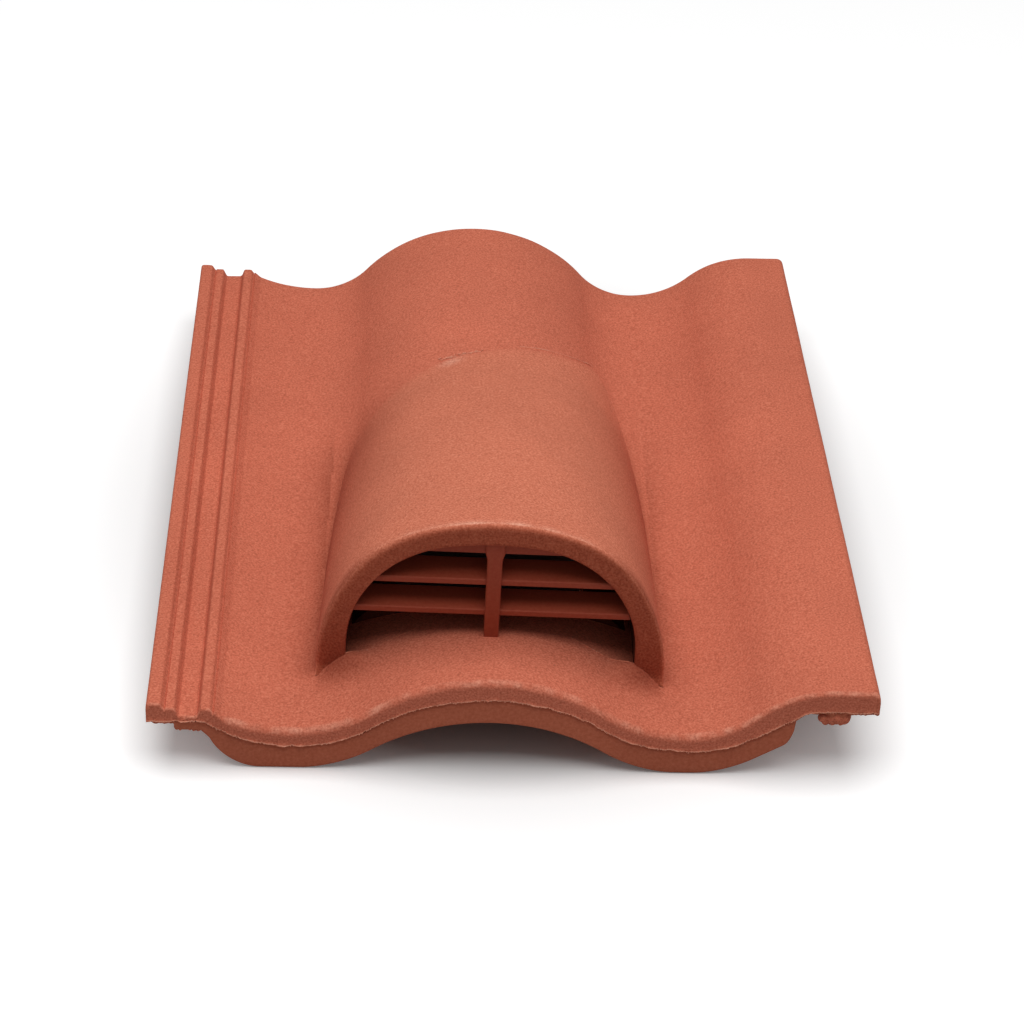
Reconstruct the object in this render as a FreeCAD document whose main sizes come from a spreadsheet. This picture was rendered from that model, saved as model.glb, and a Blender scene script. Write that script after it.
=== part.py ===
"""Concrete roof tile vent: an interlocking tile, a hood bedded on its roll and a louvre insert.

Frame, in millimetres: X runs across the tile towards the cover roll, Y runs up the roof slope
from the nose to the head, and Z is up from the plane that the nose and the nibs rest on.
"""
import FreeCAD, Part
import math
import os
from types import SimpleNamespace

import Sketcher
from FreeCAD import Placement, Rotation, Vector

SIZES = {
    # the tile as a whole
    "tile_width": 330.0,
    "tile_length": 420.0,
    "tile_thickness": 10.5,
    "pan_height": 21.5,
    "bearing_flat": 0.3,
    # the wave: two pans and the roll between them
    "lock_pan_run": 31.0,
    "cover_run": 66.5,
    "pan_radius": 38.6,
    "roll_rise": 40.5,
    "lock_pan_radius": 79.0,
    # the lowered roll in front of the hood, and the nose edge
    "sill_length": 70.0,
    "sill_rise": 22.5,
    "sill_pan_radius": 18.0,
    "nose_rise": 28.7,
    "nose_pan_radius": 65.0,
    "nose_round": 6.5,
    "nose_depth": 30.0,
    "nose_arch": 26.6,
    "nose_under_radius": 67.0,
    "nose_lock_radius": 27.0,
    "nose_lock_flat": 11.5,
    "nose_cover_radius": 61.5,
    "nose_cover_run": 32.0,
    "nose_band": 12.5,
    "band_lock_radius": 64.0,
    "nose_setback": 0.6,
    # side lock under the next tile
    "lock_rib_top": 35.0,
    "lock_rib_width": 6.5,
    "lock_step_top": 32.5,
    "lock_step_width": 4.0,
    "lock_channel_floor": 28.2,
    "lock_channel_width": 7.7,
    "lock_inner_top": 32.5,
    "lock_inner_width": 4.3,
    "lock_slope": 2.0,
    "lock_apron": 5.0,
    "lock_lip_floor": 25.3,
    "lock_lip_width": 11.5,
    "lock_thickness": 7.9,
    # cover roll over the next tile
    "side_lap": 37.0,
    "cover_rise": 25.5,
    "cover_flat": 20.0,
    "cover_pan_radius": 48.4,
    "cover_corner": 4.0,
    "cover_rib_width": 5.0,
    "lock_clearance": 0.5,
    # nibs that hang on the batten
    "nib_width": 36.0,
    "nib_length": 18.0,
    "nib_from_head": 14.0,
    # throat through the roll, under the hood
    "throat_width": 88.0,
    "throat_length": 105.0,
    "throat_corner": 14.0,
    # hood
    "hood_offset": 1.0,
    "foot_to_pan": 9.0,
    "hood_wall": 13.0,
    "leg_wall": 14.0,
    "hollow_leg": 12.0,
    "hollow_crown": 136.0,
    "hood_pitch": 11.6,
    "hood_turn": 1.35,
    "hood_from_head": 141.0,
    "hood_reach": 320.0,
    "hood_tail": 40.0,
    "hood_skirt": 45.0,
    "mouth_from_nose": 40.0,
    "mouth_lean": 2.0,
    "rim_round": 3.8,
    # louvre insert
    "grille_setback": 2.5,
    "grille_clearance": 0.3,
    "grille_skew": 0.5,
    "bar_width": 7.3,
    "bar_depth": 7.0,
    "blade_height": 36.5,
    "blade_pitch": 18.0,
    "blade_lip": 3.2,
    "blade_depth": 11.5,
    "blade_rise": 2.4,
    "blade_thickness": 2.2,
    "rail_height": 71.3,
    "rail_thickness": 3.0,
}
OVERCUT = 8.0  # how far the trimming solids reach past what they trim
FAR = 400.0    # longer than any piece, for trimming solids that pass right through


class Size:
    """A number that carries its value and the sheet expression that it comes from."""

    def __init__(self, value, text):
        self.value = value
        self.text = text

    def __neg__(self):
        return Size(-self.value, f"(-{self.text})")

    def __add__(self, other):
        other = as_size(other)
        return Size(self.value + other.value, f"({self.text} + {other.text})")

    def __sub__(self, other):
        other = as_size(other)
        return Size(self.value - other.value, f"({self.text} - {other.text})")

    def __mul__(self, other):
        other = as_size(other)
        return Size(self.value * other.value, f"({self.text} * {other.text})")

    def __truediv__(self, other):
        other = as_size(other)
        return Size(self.value / other.value, f"({self.text} / {other.text})")

    def root(self):
        return Size(math.sqrt(self.value), f"sqrt({self.text})")


def as_size(number):
    """A plain number as a Size."""
    return number if isinstance(number, Size) else Size(float(number), repr(float(number)))


doc = FreeCAD.newDocument("roof_tile_vent")
sheet = doc.addObject("Spreadsheet::Sheet", "sizes")
for row, (alias, number) in enumerate(SIZES.items(), start=1):
    sheet.set(f"A{row}", alias)
    sheet.set(f"B{row}", str(number))
    sheet.setAlias(f"B{row}", alias)
doc.recompute()
derived = doc.addObject("App::VarSet", "derived")
d = SimpleNamespace(**{alias: Size(getattr(sheet, alias), f"sizes.{alias}") for alias in SIZES})


def derive(name, size):
    """Keep a worked-out size under its own name, so that later expressions stay short."""
    derived.addProperty("App::PropertyFloat", name)
    derived.setExpression(name, size.text)
    return Size(size.value, f"derived.{name}")


def drop(radius, run):
    """How far a circle of that radius falls away from its top over a run to the side."""
    return radius - (radius * radius - run * run).root()


class Outline:
    """A closed sketch of lines and arcs whose corners and radii are bound to the sheet."""

    def __init__(self, body, name, role, offset=(0, 0, 0), axis=(1, 0, 0), turn=None):
        plane = next(f for f in body.Origin.OriginFeatures if f.Role == role)
        self.sketch = body.newObject("Sketcher::SketchObject", name)
        self.sketch.AttachmentSupport = [(plane, "")]
        self.sketch.MapMode = "FlatFace"
        turn = as_size(0) if turn is None else turn
        base = [as_size(part) for part in offset]
        place = Placement(Vector(*(part.value for part in base)), Rotation(Vector(*axis), turn.value))
        self.sketch.AttachmentOffset = place
        for letter, part in zip("xyz", base):
            self.sketch.setExpression(f"AttachmentOffset.Base.{letter}", part.text)
        self.sketch.setExpression("AttachmentOffset.Rotation.Angle", turn.text)
        self.corners = []
        self.bends = []

    def at(self, x, y):
        """Go to a corner by a straight line."""
        self.corners.append((as_size(x), as_size(y)))
        self.bends.append(None)
        return self

    def bend(self, x, y, radius, left):
        """Go to a corner by an arc, with its centre to the left of the way or to the right."""
        self.corners.append((as_size(x), as_size(y)))
        self.bends.append((radius, left))
        return self

    def draw(self):
        """Draw the outline, closed by a straight line, and bind its corners and radii."""
        count = len(self.corners)
        points = [Vector(x.value, y.value, 0) for x, y in self.corners]
        ends = []
        for index in range(count):
            target = (index + 1) % count
            ends.append(self._segment(points[index], points[target], self.bends[target]))
        for index, (_, _, finish) in enumerate(ends):
            following = ends[(index + 1) % count]
            self._constrain("Coincident", ends[index][0], finish, following[0], following[1])
        for (geometry, begin, _), (x, y), point in zip(ends, self.corners, points):
            self._bind("DistanceX", (-1, 1, geometry, begin, point.x), x)
            self._bind("DistanceY", (-1, 1, geometry, begin, point.y), y)
        for index, (geometry, _, _) in enumerate(ends):
            shape = self.bends[(index + 1) % count]
            if shape is not None:
                self._bind("Radius", (geometry, shape[0].value), shape[0])
        return self.sketch

    def _segment(self, start, finish, shape):
        """Add one side; returns its number and the ends of it that start and finish the way."""
        if shape is None:
            return self.sketch.addGeometry(Part.LineSegment(start, finish)), 1, 2
        radius, left = shape
        chord = finish - start
        reach = math.sqrt(max(radius.value ** 2 - chord.Length ** 2 / 4, 0.0))
        side = Vector(-chord.y, chord.x, 0).normalize() * (reach if left else -reach)
        centre = (start + finish) / 2 + side
        circle = Part.Circle(centre, Vector(0, 0, 1), radius.value)
        first, last = (start, finish) if left else (finish, start)
        arc = Part.ArcOfCircle(circle, circle.parameter(first), circle.parameter(last))
        return self.sketch.addGeometry(arc), 1 if left else 2, 2 if left else 1

    def _constrain(self, kind, *references):
        return self.sketch.addConstraint(Sketcher.Constraint(kind, *references))

    def _bind(self, kind, references, size):
        number = self._constrain(kind, *references)
        self.sketch.setExpression(f"Constraints[{number}]", size.text)


def feature(body, kind, name, profile, **settings):
    """Add a feature of one sketch to a body; settings that are sizes are bound to the sheet."""
    item = body.newObject(f"PartDesign::{kind}", name)
    item.Profile = profile
    for key, setting in settings.items():
        if isinstance(setting, Size):
            setattr(item, key, setting.value)
            item.setExpression(key, setting.text)
        else:
            setattr(item, key, setting)
    profile.Visibility = False
    doc.recompute()
    return item


def new_body(name):
    """An empty body, named for what it forms."""
    return doc.addObject("PartDesign::Body", name)


# Places shared by the sections. The left edge carries the lock, the right edge the cover roll.
left_edge = -d.tile_width / 2
right_edge = d.tile_width / 2
nose_y = -d.tile_length / 2
head_y = d.tile_length / 2
sill_y = nose_y + d.sill_length
rib_inner = left_edge + d.lock_rib_width
step_start = rib_inner + d.lock_slope
step_end = step_start + d.lock_step_width
channel_start = step_end + d.lock_slope
channel_end = channel_start + d.lock_channel_width
inner_start = channel_end + d.lock_slope
inner_end = inner_start + d.lock_inner_width
lock_end = inner_end + d.lock_apron
cover_top = d.pan_height + d.cover_rise
cover_start = right_edge - d.cover_flat
# The two pans share what the lock and the cover roll leave, with the roll half way between them.
left_pan = derive("left_pan", lock_end + d.lock_pan_run)
right_pan = derive("right_pan", cover_start - d.cover_run)
pan_spacing = derive("pan_spacing", (right_pan - left_pan) / 2)
roll_middle = derive("roll_middle", (left_pan + right_pan) / 2)
# The next tile's lock lies one cover width to the right, so the cover roll clears it there.
cover_width = d.tile_width - d.side_lap
cover_ceiling = d.lock_rib_top + d.lock_clearance
cover_wall = left_edge + cover_width - d.lock_clearance
cover_rib_middle = (channel_start + channel_end) / 2 + cover_width
cover_rib_floor = d.lock_channel_floor + d.lock_clearance
# The hood stands astride the roll, with its feet a little way up the inner sides of the pans.
hood_middle = roll_middle + d.hood_offset
hood_radius = derive("hood_radius", pan_spacing - d.foot_to_pan)
mouth_y = nose_y + d.mouth_from_nose
# The hollow's three arcs meet without a corner, which settles the radius of its shoulders.
hollow_half = hood_radius - d.leg_wall
hollow_rise = hood_radius - d.hood_wall - d.hollow_leg
hollow_spread = hollow_rise * hollow_rise + hollow_half * hollow_half
hollow_shoulder = derive("hollow_shoulder", (
    d.hollow_crown * hollow_rise * 2 - hollow_spread) / ((d.hollow_crown - hollow_half) * 2))


class Wave:
    """Two arcs that meet without a corner: up from the bottom of a pan to the top of a roll."""

    def __init__(self, name, foot, foot_radius, top, run):
        rise = foot + foot_radius - top
        spread = foot_radius - rise
        self.foot = foot
        self.foot_radius = foot_radius
        self.top_radius = derive(
            f"{name}_radius", (rise * rise + run * run - foot_radius * foot_radius) / (spread * 2))
        self.run = run
        self.lift = rise + self.top_radius
        self.reach = foot_radius + self.top_radius

    def meeting(self, depth):
        """Run from the pan and height where the arcs meet, on a line that deep under the top."""
        share = (self.foot_radius + depth) / self.reach
        return self.run * share, self.foot + self.foot_radius - self.lift * share

    def over(self, outline, depth=0.0):
        """Follow the wave from the left pan over the roll to the right pan."""
        out, height = self.meeting(depth)
        under, over = self.foot_radius + depth, self.top_radius - depth
        outline.bend(left_pan + out, height, under, True)
        outline.bend(right_pan - out, height, over, False)
        outline.bend(right_pan, self.foot - depth, under, True)

    def up(self, outline, depth=0.0):
        """Follow the wave from the right pan towards the cover roll, to where its arcs meet."""
        out, height = self.meeting(depth)
        outline.bend(right_pan + out, height, self.foot_radius + depth, True)


roll_wave = Wave("roll", d.pan_height, d.pan_radius, d.pan_height + d.roll_rise, pan_spacing)
sill_wave = Wave("sill", d.pan_height, d.sill_pan_radius, d.pan_height + d.sill_rise, pan_spacing)
nose_wave = Wave("nose", d.pan_height, d.nose_pan_radius, d.pan_height + d.nose_rise, pan_spacing)
arch_wave = Wave("arch", -d.bearing_flat, d.nose_under_radius, d.nose_arch, pan_spacing)
band_wave = Wave("band", d.nose_band - d.bearing_flat, d.nose_under_radius,
                 d.nose_arch + d.nose_band, pan_spacing)
cover_wave = Wave("cover", d.pan_height, d.cover_pan_radius, cover_top, cover_start - right_pan)


def top_section(body, name, wave, y):
    """The tile's section from its upper face down to the resting plane, at one place along it."""
    outline = Outline(body, name, "XZ_Plane", offset=(0, 0, -y))
    outline.at(left_edge, 0).at(left_edge, d.lock_rib_top).at(rib_inner, d.lock_rib_top)
    outline.at(step_start, d.lock_step_top).at(step_end, d.lock_step_top)
    outline.at(channel_start, d.lock_channel_floor).at(channel_end, d.lock_channel_floor)
    outline.at(inner_start, d.lock_inner_top).at(inner_end, d.lock_inner_top)
    outline.at(lock_end, d.pan_height + drop(d.lock_pan_radius, left_pan - lock_end))
    outline.bend(left_pan, d.pan_height, d.lock_pan_radius, True)
    wave.over(outline)
    cover_wave.up(outline)
    outline.bend(cover_start, cover_top, cover_wave.top_radius, False)
    outline.at(right_edge - d.cover_corner, cover_top)
    outline.bend(right_edge, cover_top - d.cover_corner, d.cover_corner, False)
    outline.at(right_edge, 0)
    return outline.draw()


def start_underside(body, name, y):
    """Begin a section of the space under the tile: below the lock's rib and channel."""
    outline = Outline(body, name, "XZ_Plane", offset=(0, 0, -y))
    floor = d.lock_channel_floor - d.lock_thickness
    lip_end = left_edge + d.lock_lip_width
    outline.at(left_edge - OVERCUT, -OVERCUT).at(left_edge - OVERCUT, d.lock_lip_floor)
    outline.at(lip_end, d.lock_lip_floor).at(lip_end + d.lock_slope, floor).at(inner_start, floor)
    return outline


def finish_underside(outline):
    """End a section of the space under the tile: below the cover roll and its hanging rib."""
    half = d.cover_rib_width / 2
    outline.at(cover_wall, cover_ceiling)
    outline.at(cover_rib_middle - half - d.lock_slope / 2, cover_ceiling)
    outline.at(cover_rib_middle - half, cover_rib_floor).at(cover_rib_middle + half, cover_rib_floor)
    outline.at(cover_rib_middle + half + d.lock_slope / 2, cover_ceiling)
    outline.at(right_edge + OVERCUT, cover_ceiling).at(right_edge + OVERCUT, -OVERCUT)
    return outline.draw()


def shell_underside(body, name, wave, y):
    """The space under the even wall of the tile, one thickness below its upper face."""
    deep = d.tile_thickness
    outline = start_underside(body, name, y)
    radius = d.lock_pan_radius + deep
    seat = inner_start + d.lock_slope
    outline.at(seat, d.pan_height - deep + drop(radius, left_pan - seat))
    outline.bend(left_pan, d.pan_height - deep, radius, True)
    wave.over(outline, deep)
    cover_wave.up(outline, deep)
    crown = cover_wave.top_radius - deep
    outline.bend(cover_wall, cover_top - deep - drop(crown, cover_start - cover_wall), crown, False)
    return finish_underside(outline)


def nose_underside(body, name, y, wave, flat, lock_radius):
    """The space under the thick nose, which stands on its two pans, or under a line along it."""
    outline = start_underside(body, name, y)
    seat = inner_start + d.lock_slope * 2
    bend_start = left_pan - flat
    outline.at(seat, drop(lock_radius, bend_start - seat) + wave.foot)
    outline.bend(bend_start, wave.foot, lock_radius, True)
    if flat.value > 0:
        outline.at(left_pan, wave.foot)
    wave.over(outline)
    run, radius = d.nose_cover_run, d.nose_cover_radius
    climb = drop(radius, run) + wave.foot
    outline.bend(right_pan + run, climb, radius, True)
    slope = run / (radius * radius - run * run).root()
    outline.at(cover_wall, climb + (cover_wall - right_pan - run) * slope)
    return finish_underside(outline)


def build_tile():
    """The cast tile: an upper form, less the form that the underside is cast against."""
    upper = new_body("upper_form")
    roll_part = top_section(upper, "roll_section", roll_wave, head_y)
    feature(upper, "Pad", "roll_length", roll_part, Length=d.tile_length - d.sill_length)
    sill_part = top_section(upper, "sill_section", sill_wave, sill_y)
    nose_part = top_section(upper, "nose_section", nose_wave, nose_y)
    loft = feature(upper, "AdditiveLoft", "sill_loft", sill_part, Sections=[nose_part], Ruled=True)
    round_nose(upper, loft)

    under = new_body("under_form")
    shell_part = shell_underside(under, "shell_underside", roll_wave, head_y + OVERCUT)
    feature(under, "Pad", "shell_space", shell_part, Length=d.tile_length - d.sill_length + OVERCUT)
    sill_under = shell_underside(under, "sill_underside", sill_wave, sill_y)
    feature(under, "Pad", "sill_space", sill_under, Length=d.sill_length - d.nose_depth)
    nose_under = nose_underside(under, "nose_underside", nose_y + d.nose_depth, arch_wave,
                                d.nose_lock_flat, d.nose_lock_radius)
    feature(under, "Pad", "nose_space", nose_under, Length=d.nose_depth + OVERCUT)
    band = nose_underside(under, "nose_band", nose_y + d.nose_setback, band_wave,
                          as_size(0), d.band_lock_radius)
    feature(under, "Pad", "band_space", band, Length=d.nose_setback + OVERCUT)
    add_throat(under)
    keep_nibs(under)

    tile = doc.addObject("Part::Cut", "tile")
    tile.Base = upper
    tile.Tool = under
    tile.Refine = True
    return tile, upper


def round_nose(upper, loft):
    """Round the front edge of the pans, the roll and the cover roll."""
    front = nose_y.value
    names = []
    for number, edge in enumerate(loft.Shape.Edges, start=1):
        box = edge.BoundBox
        at_front = abs(box.YMin - front) < 1e-3 and abs(box.YMax - front) < 1e-3
        on_wave = box.XMin > lock_end.value - 1e-3 and box.ZMin > d.pan_height.value - 1e-3
        if at_front and on_wave and box.XMax - box.XMin > 1e-3:
            names.append(f"Edge{number}")
    rounding = upper.newObject("PartDesign::Fillet", "nose_rounding")
    rounding.Base = (loft, names)
    rounding.Radius = d.nose_round.value
    rounding.setExpression("Radius", d.nose_round.text)
    doc.recompute()


def add_throat(under):
    """Let the space under the tile rise through the roll, behind the sill."""
    half = d.throat_width / 2
    middle = hood_middle
    front, back, corner = sill_y, sill_y + d.throat_length, d.throat_corner
    outline = Outline(under, "throat_plan", "XY_Plane", offset=(0, 0, -OVERCUT))
    outline.at(middle - half, front).at(middle + half, front)
    outline.at(middle + half, back - corner).bend(middle + half - corner, back, corner, True)
    outline.at(middle - half + corner, back).bend(middle - half, back - corner, corner, True)
    feature(under, "Pad", "throat", outline.draw(), Length=d.pan_height + d.roll_rise + OVERCUT * 2)


def keep_nibs(under):
    """Leave two pockets in the lower form, where the hanging nibs are cast."""
    back = head_y - d.nib_from_head
    half = d.nib_width / 2
    for name, middle in (("left", left_pan), ("right", right_pan)):
        outline = Outline(under, f"{name}_nib_plan", "XY_Plane", offset=(0, 0, -OVERCUT))
        outline.at(middle - half, back - d.nib_length).at(middle + half, back - d.nib_length)
        outline.at(middle + half, back).at(middle - half, back)
        feature(under, "Pocket", f"{name}_nib", outline.draw(), Length=as_size(FAR), Reversed=True)


def square_to_crest(body, name):
    """An outline square to the line of the hood's crest, measured from that line."""
    crest = (hood_middle, d.pan_height + d.roll_rise, d.hood_from_head - head_y)
    return Outline(body, name, "XZ_Plane", offset=crest, turn=-d.hood_pitch)


def barrel(body, name):
    """The outer section of the hood: a half round on straight legs."""
    outline = square_to_crest(body, name)
    radius = hood_radius
    outline.at(-radius, -radius - d.hood_skirt).at(-radius, -radius)
    outline.bend(0, 0, radius, False).bend(radius, -radius, radius, False)
    outline.at(radius, -radius - d.hood_skirt)
    return outline.draw()


def hollow(body, name, clearance, skirt):
    """The hollow's section, less a clearance: straight legs, round shoulders and a flatter crown."""
    outline = square_to_crest(body, name)
    half = hollow_half - clearance
    shoulder = hollow_shoulder - clearance
    crown = d.hollow_crown - clearance
    springing = d.hollow_leg - hood_radius
    share = crown / (crown - shoulder)
    out = (half - shoulder) * share
    crown_middle = -d.hood_wall - d.hollow_crown
    height = crown_middle + (springing - crown_middle) * share
    outline.at(-half, springing - skirt).at(-half, springing)
    outline.bend(-out, height, shoulder, False).bend(out, height, crown, False)
    outline.bend(half, springing, shoulder, False).at(half, springing - skirt)
    return outline.draw()


def turned_on_roll():
    """Where the hood and its insert lie: turned a little about the middle of the mouth, as bedded."""
    pivot = Vector(hood_middle.value, mouth_y.value, 0)
    turn = Rotation(Vector(0, 0, 1), -d.hood_turn.value)
    return Placement(pivot - turn.multVec(pivot), turn)


def trim(body, name, role, outline_offset, corner, turn=None, middle=None):
    """Cut away a rectangle, from the offset's origin to a far corner, right through a body."""
    outline = Outline(body, name, role, offset=outline_offset, axis=(0, 0, 1), turn=turn)
    low, high = middle
    outline.at(0, low).at(0, high).at(corner, high).at(corner, low)
    feature(body, "Pocket", f"{name}_cut", outline.draw(), Length=as_size(FAR * 2), SideType="Symmetric")


def build_hood(upper):
    """The hood: a tilted half barrel on legs, hollow, cut at its mouth and seated on the tile."""
    body = new_body("hood_form")
    feature(body, "Pad", "barrel", barrel(body, "barrel_section"),
            SideType="Two sides", Length=d.hood_reach, Length2=d.hood_tail)
    feature(body, "Pocket", "hollow", hollow(body, "hollow_section", as_size(0), FAR),
            Length=as_size(FAR * 2), SideType="Symmetric")
    trim(body, "mouth", "YZ_Plane", (mouth_y, d.pan_height, 0), -FAR, d.mouth_lean, (-FAR, FAR))
    floor = d.pan_height - d.tile_thickness / 2
    trim(body, "foot", "YZ_Plane", (-FAR, floor, 0), FAR * 2, None, (-FAR, 0))
    round_rim(body)
    body.Placement = turned_on_roll()
    hood = doc.addObject("Part::Cut", "hood")
    hood.Base = body
    hood.Tool = upper
    hood.Refine = True
    return hood


def round_rim(body):
    """Round the outer edge of the hood's mouth, over the crown and down both legs."""
    lean = math.radians(d.mouth_lean.value)
    pitch = math.radians(d.hood_pitch.value)
    foot = Vector(0, mouth_y.value, d.pan_height.value)
    normal = Vector(0, math.cos(lean), math.sin(lean))
    crest = Vector(0, head_y.value - d.hood_from_head.value, d.pan_height.value + d.roll_rise.value)
    rise = Vector(0, math.sin(pitch), math.cos(pitch))
    tip = body.Tip
    names = []
    for number, edge in enumerate(tip.Shape.Edges, start=1):
        samples = edge.discretize(5)
        if any(abs((point - foot).dot(normal)) > 1e-3 for point in samples):
            continue
        height = (samples[2] - crest).dot(rise) + hood_radius.value
        reach = math.hypot(samples[2].x - hood_middle.value, max(height, 0.0))
        on_barrel = abs(reach - hood_radius.value) < 1e-3
        if on_barrel and samples[2].z > d.pan_height.value - d.tile_thickness.value / 2 + 1:
            names.append(f"Edge{number}")
    rounding = body.newObject("PartDesign::Fillet", "rim_rounding")
    rounding.Base = (tip, names)
    rounding.Radius = d.rim_round.value
    rounding.setExpression("Radius", d.rim_round.text)
    doc.recompute()


def build_grille(upper):
    """The louvre insert: centre bar, two sloped blades and a top rail, cut to fit the mouth."""
    body = new_body("grille_form")
    place = (mouth_y + d.grille_setback, d.pan_height, hood_middle)
    turned = {"offset": place, "axis": (0, 0, 1), "turn": d.mouth_lean}
    wide = hood_radius * 2

    blade = Outline(body, "blade_section", "YZ_Plane", **turned)
    low, high, thick = d.blade_height, d.blade_height + d.blade_lip, d.blade_thickness
    blade.at(0, low).at(0, high).at(d.blade_depth, high + d.blade_rise)
    blade.at(d.blade_depth, high + d.blade_rise - thick).at(thick, high - thick).at(thick, low)
    blade_sketch = blade.draw()
    pad = feature(body, "Pad", "blade", blade_sketch, Length=wide, SideType="Symmetric")
    pattern = body.newObject("PartDesign::LinearPattern", "blades")
    pattern.Originals = [pad]
    pattern.Direction = (blade_sketch, ["V_Axis"])
    pattern.Length = d.blade_pitch.value
    pattern.setExpression("Length", d.blade_pitch.text)
    pattern.Occurrences = 2
    body.Tip = pattern
    doc.recompute()

    bar = Outline(body, "bar_section", "YZ_Plane", **turned)
    bar.at(0, 0).at(0, hood_radius * 2).at(d.bar_depth, hood_radius * 2).at(d.bar_depth, 0)
    feature(body, "Pad", "bar", bar.draw(), Length=d.bar_width, SideType="Symmetric")

    rail = Outline(body, "rail_section", "YZ_Plane", **turned)
    rail.at(0, d.rail_height).at(0, hood_radius * 2)
    rail.at(d.rail_thickness, hood_radius * 2).at(d.rail_thickness, d.rail_height)
    feature(body, "Pad", "rail", rail.draw(), Length=wide, SideType="Symmetric")
    pivot = Vector(hood_middle.value, 0, d.pan_height.value + d.blade_height.value)
    turn = Rotation(Vector(0, 1, 0), d.grille_skew.value)
    body.Placement = turned_on_roll() * Placement(pivot - turn.multVec(pivot), turn)

    core = new_body("mouth_core")
    core_part = hollow(core, "core_section", d.grille_clearance, d.hood_skirt + d.hollow_leg)
    feature(core, "Pad", "core", core_part, Length=d.hood_reach)
    core.Placement = turned_on_roll()
    fitted = doc.addObject("Part::Common", "fitted_grille")
    fitted.Base = body
    fitted.Tool = core
    grille = doc.addObject("Part::Cut", "louvre_grille")
    grille.Base = fitted
    grille.Tool = upper
    grille.Refine = True
    return grille


def main():
    tile, upper = build_tile()
    nodes = [tile, build_hood(upper), build_grille(upper)]
    doc.recompute()
    failed = [item.Label for item in doc.Objects if {"Invalid", "Error"} & set(item.State)]
    if failed:
        raise RuntimeError(f"not built: {failed}")
    for node in nodes:
        if node.Shape.isNull() or not node.Shape.isValid():
            raise RuntimeError(f"{node.Label} has no valid shape")
        if len(node.Shape.Solids) != 1:
            raise RuntimeError(f"{node.Label} has {len(node.Shape.Solids)} solids")
    os.makedirs("parts", exist_ok=True)
    for node in nodes:
        node.Shape.exportStep(f"parts/{node.Label}.step")


main()
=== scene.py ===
"""Looks of a concrete roof tile vent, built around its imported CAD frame.

Three main pieces stand for the CAD nodes: the cast tile, the hood bedded on its roll and the moulded
louvre insert in the hood's mouth. Smaller pieces show how they were made and joined: the crumbs left
where the mould parts met, and the cement slurry along the hood's seat. Sizes are in millimetres and
meshes in metres, in the frame of the CAD part: X across the tile, Y up the slope, Z up.
"""
import logging
import math
from dataclasses import dataclass, field
from enum import Enum, IntEnum
from typing import Any, Callable, Sequence

import bpy
import numpy as np
from mathutils import Matrix, Vector, noise


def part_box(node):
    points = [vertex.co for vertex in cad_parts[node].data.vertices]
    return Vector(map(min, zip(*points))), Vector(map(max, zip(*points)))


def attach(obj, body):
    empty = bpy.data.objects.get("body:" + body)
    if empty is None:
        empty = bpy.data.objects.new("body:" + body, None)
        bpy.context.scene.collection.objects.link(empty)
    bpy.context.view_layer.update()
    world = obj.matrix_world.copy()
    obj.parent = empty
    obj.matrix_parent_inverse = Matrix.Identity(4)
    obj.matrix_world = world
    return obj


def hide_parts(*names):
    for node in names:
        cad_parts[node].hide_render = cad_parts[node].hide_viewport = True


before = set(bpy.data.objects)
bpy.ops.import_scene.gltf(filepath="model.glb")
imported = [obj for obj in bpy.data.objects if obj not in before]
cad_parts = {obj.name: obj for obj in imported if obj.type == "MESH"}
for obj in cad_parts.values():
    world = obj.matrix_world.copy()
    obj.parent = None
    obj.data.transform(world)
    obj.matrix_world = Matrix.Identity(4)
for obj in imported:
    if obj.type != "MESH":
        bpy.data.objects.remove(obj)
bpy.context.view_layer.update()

LOG = logging.getLogger("roof_tile_vent")
MM = 0.001
BODY = "root"


def linear(hex_colour: str) -> tuple[float, float, float, float]:
    """Turn an sRGB hex colour into linear light.

    Args:
        hex_colour: Six hex digits, with or without a leading hash.

    Returns:
        Red, green, blue and an alpha of one.
    """
    digits = hex_colour.lstrip("#")
    parts = [int(digits[start:start + 2], 16) / 255 for start in (0, 2, 4)]
    light = [p / 12.92 if p <= 0.04045 else ((p + 0.055) / 1.055) ** 2.4 for p in parts]
    return light[0], light[1], light[2], 1.0


def add_node(tree: bpy.types.NodeTree, kind: str, inputs: dict[Any, Any] | None = None,
             **settings: Any) -> bpy.types.Node:
    """Add a node with its settings, values and links.

    Args:
        tree: The node tree to add to.
        kind: Blender's name for the kind of node.
        inputs: Input socket name or number to a value, or to a socket to link from.
        settings: Properties of the node itself.

    Returns:
        The new node.
    """
    node = tree.nodes.new(kind)
    for key, value in settings.items():
        setattr(node, key, value)
    for key, value in (inputs or {}).items():
        if isinstance(value, bpy.types.NodeSocket):
            tree.links.new(value, node.inputs[key])
        else:
            node.inputs[key].default_value = value
    return node


def ragged(along: np.ndarray, wavelength: float, seed: float) -> np.ndarray:
    """Smooth random numbers between about -1 and 1 along a line.

    Args:
        along: Distances along the line, in millimetres.
        wavelength: Distance over which the numbers change, in millimetres.
        seed: Which line of numbers to take.

    Returns:
        One number for each distance.
    """
    return np.array([noise.noise(Vector((value / wavelength, seed, seed * 0.37))) for value in along])


def drop(radius: float, run: np.ndarray | float) -> np.ndarray | float:
    """How far a circle falls away from its top over a run to the side."""
    return radius - np.sqrt(np.maximum(radius ** 2 - np.square(run), 0.0))


def ease(share: np.ndarray | float) -> np.ndarray | float:
    """A share from nought to one, slowed at both ends."""
    return share * share * (3 - 2 * share)


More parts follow.
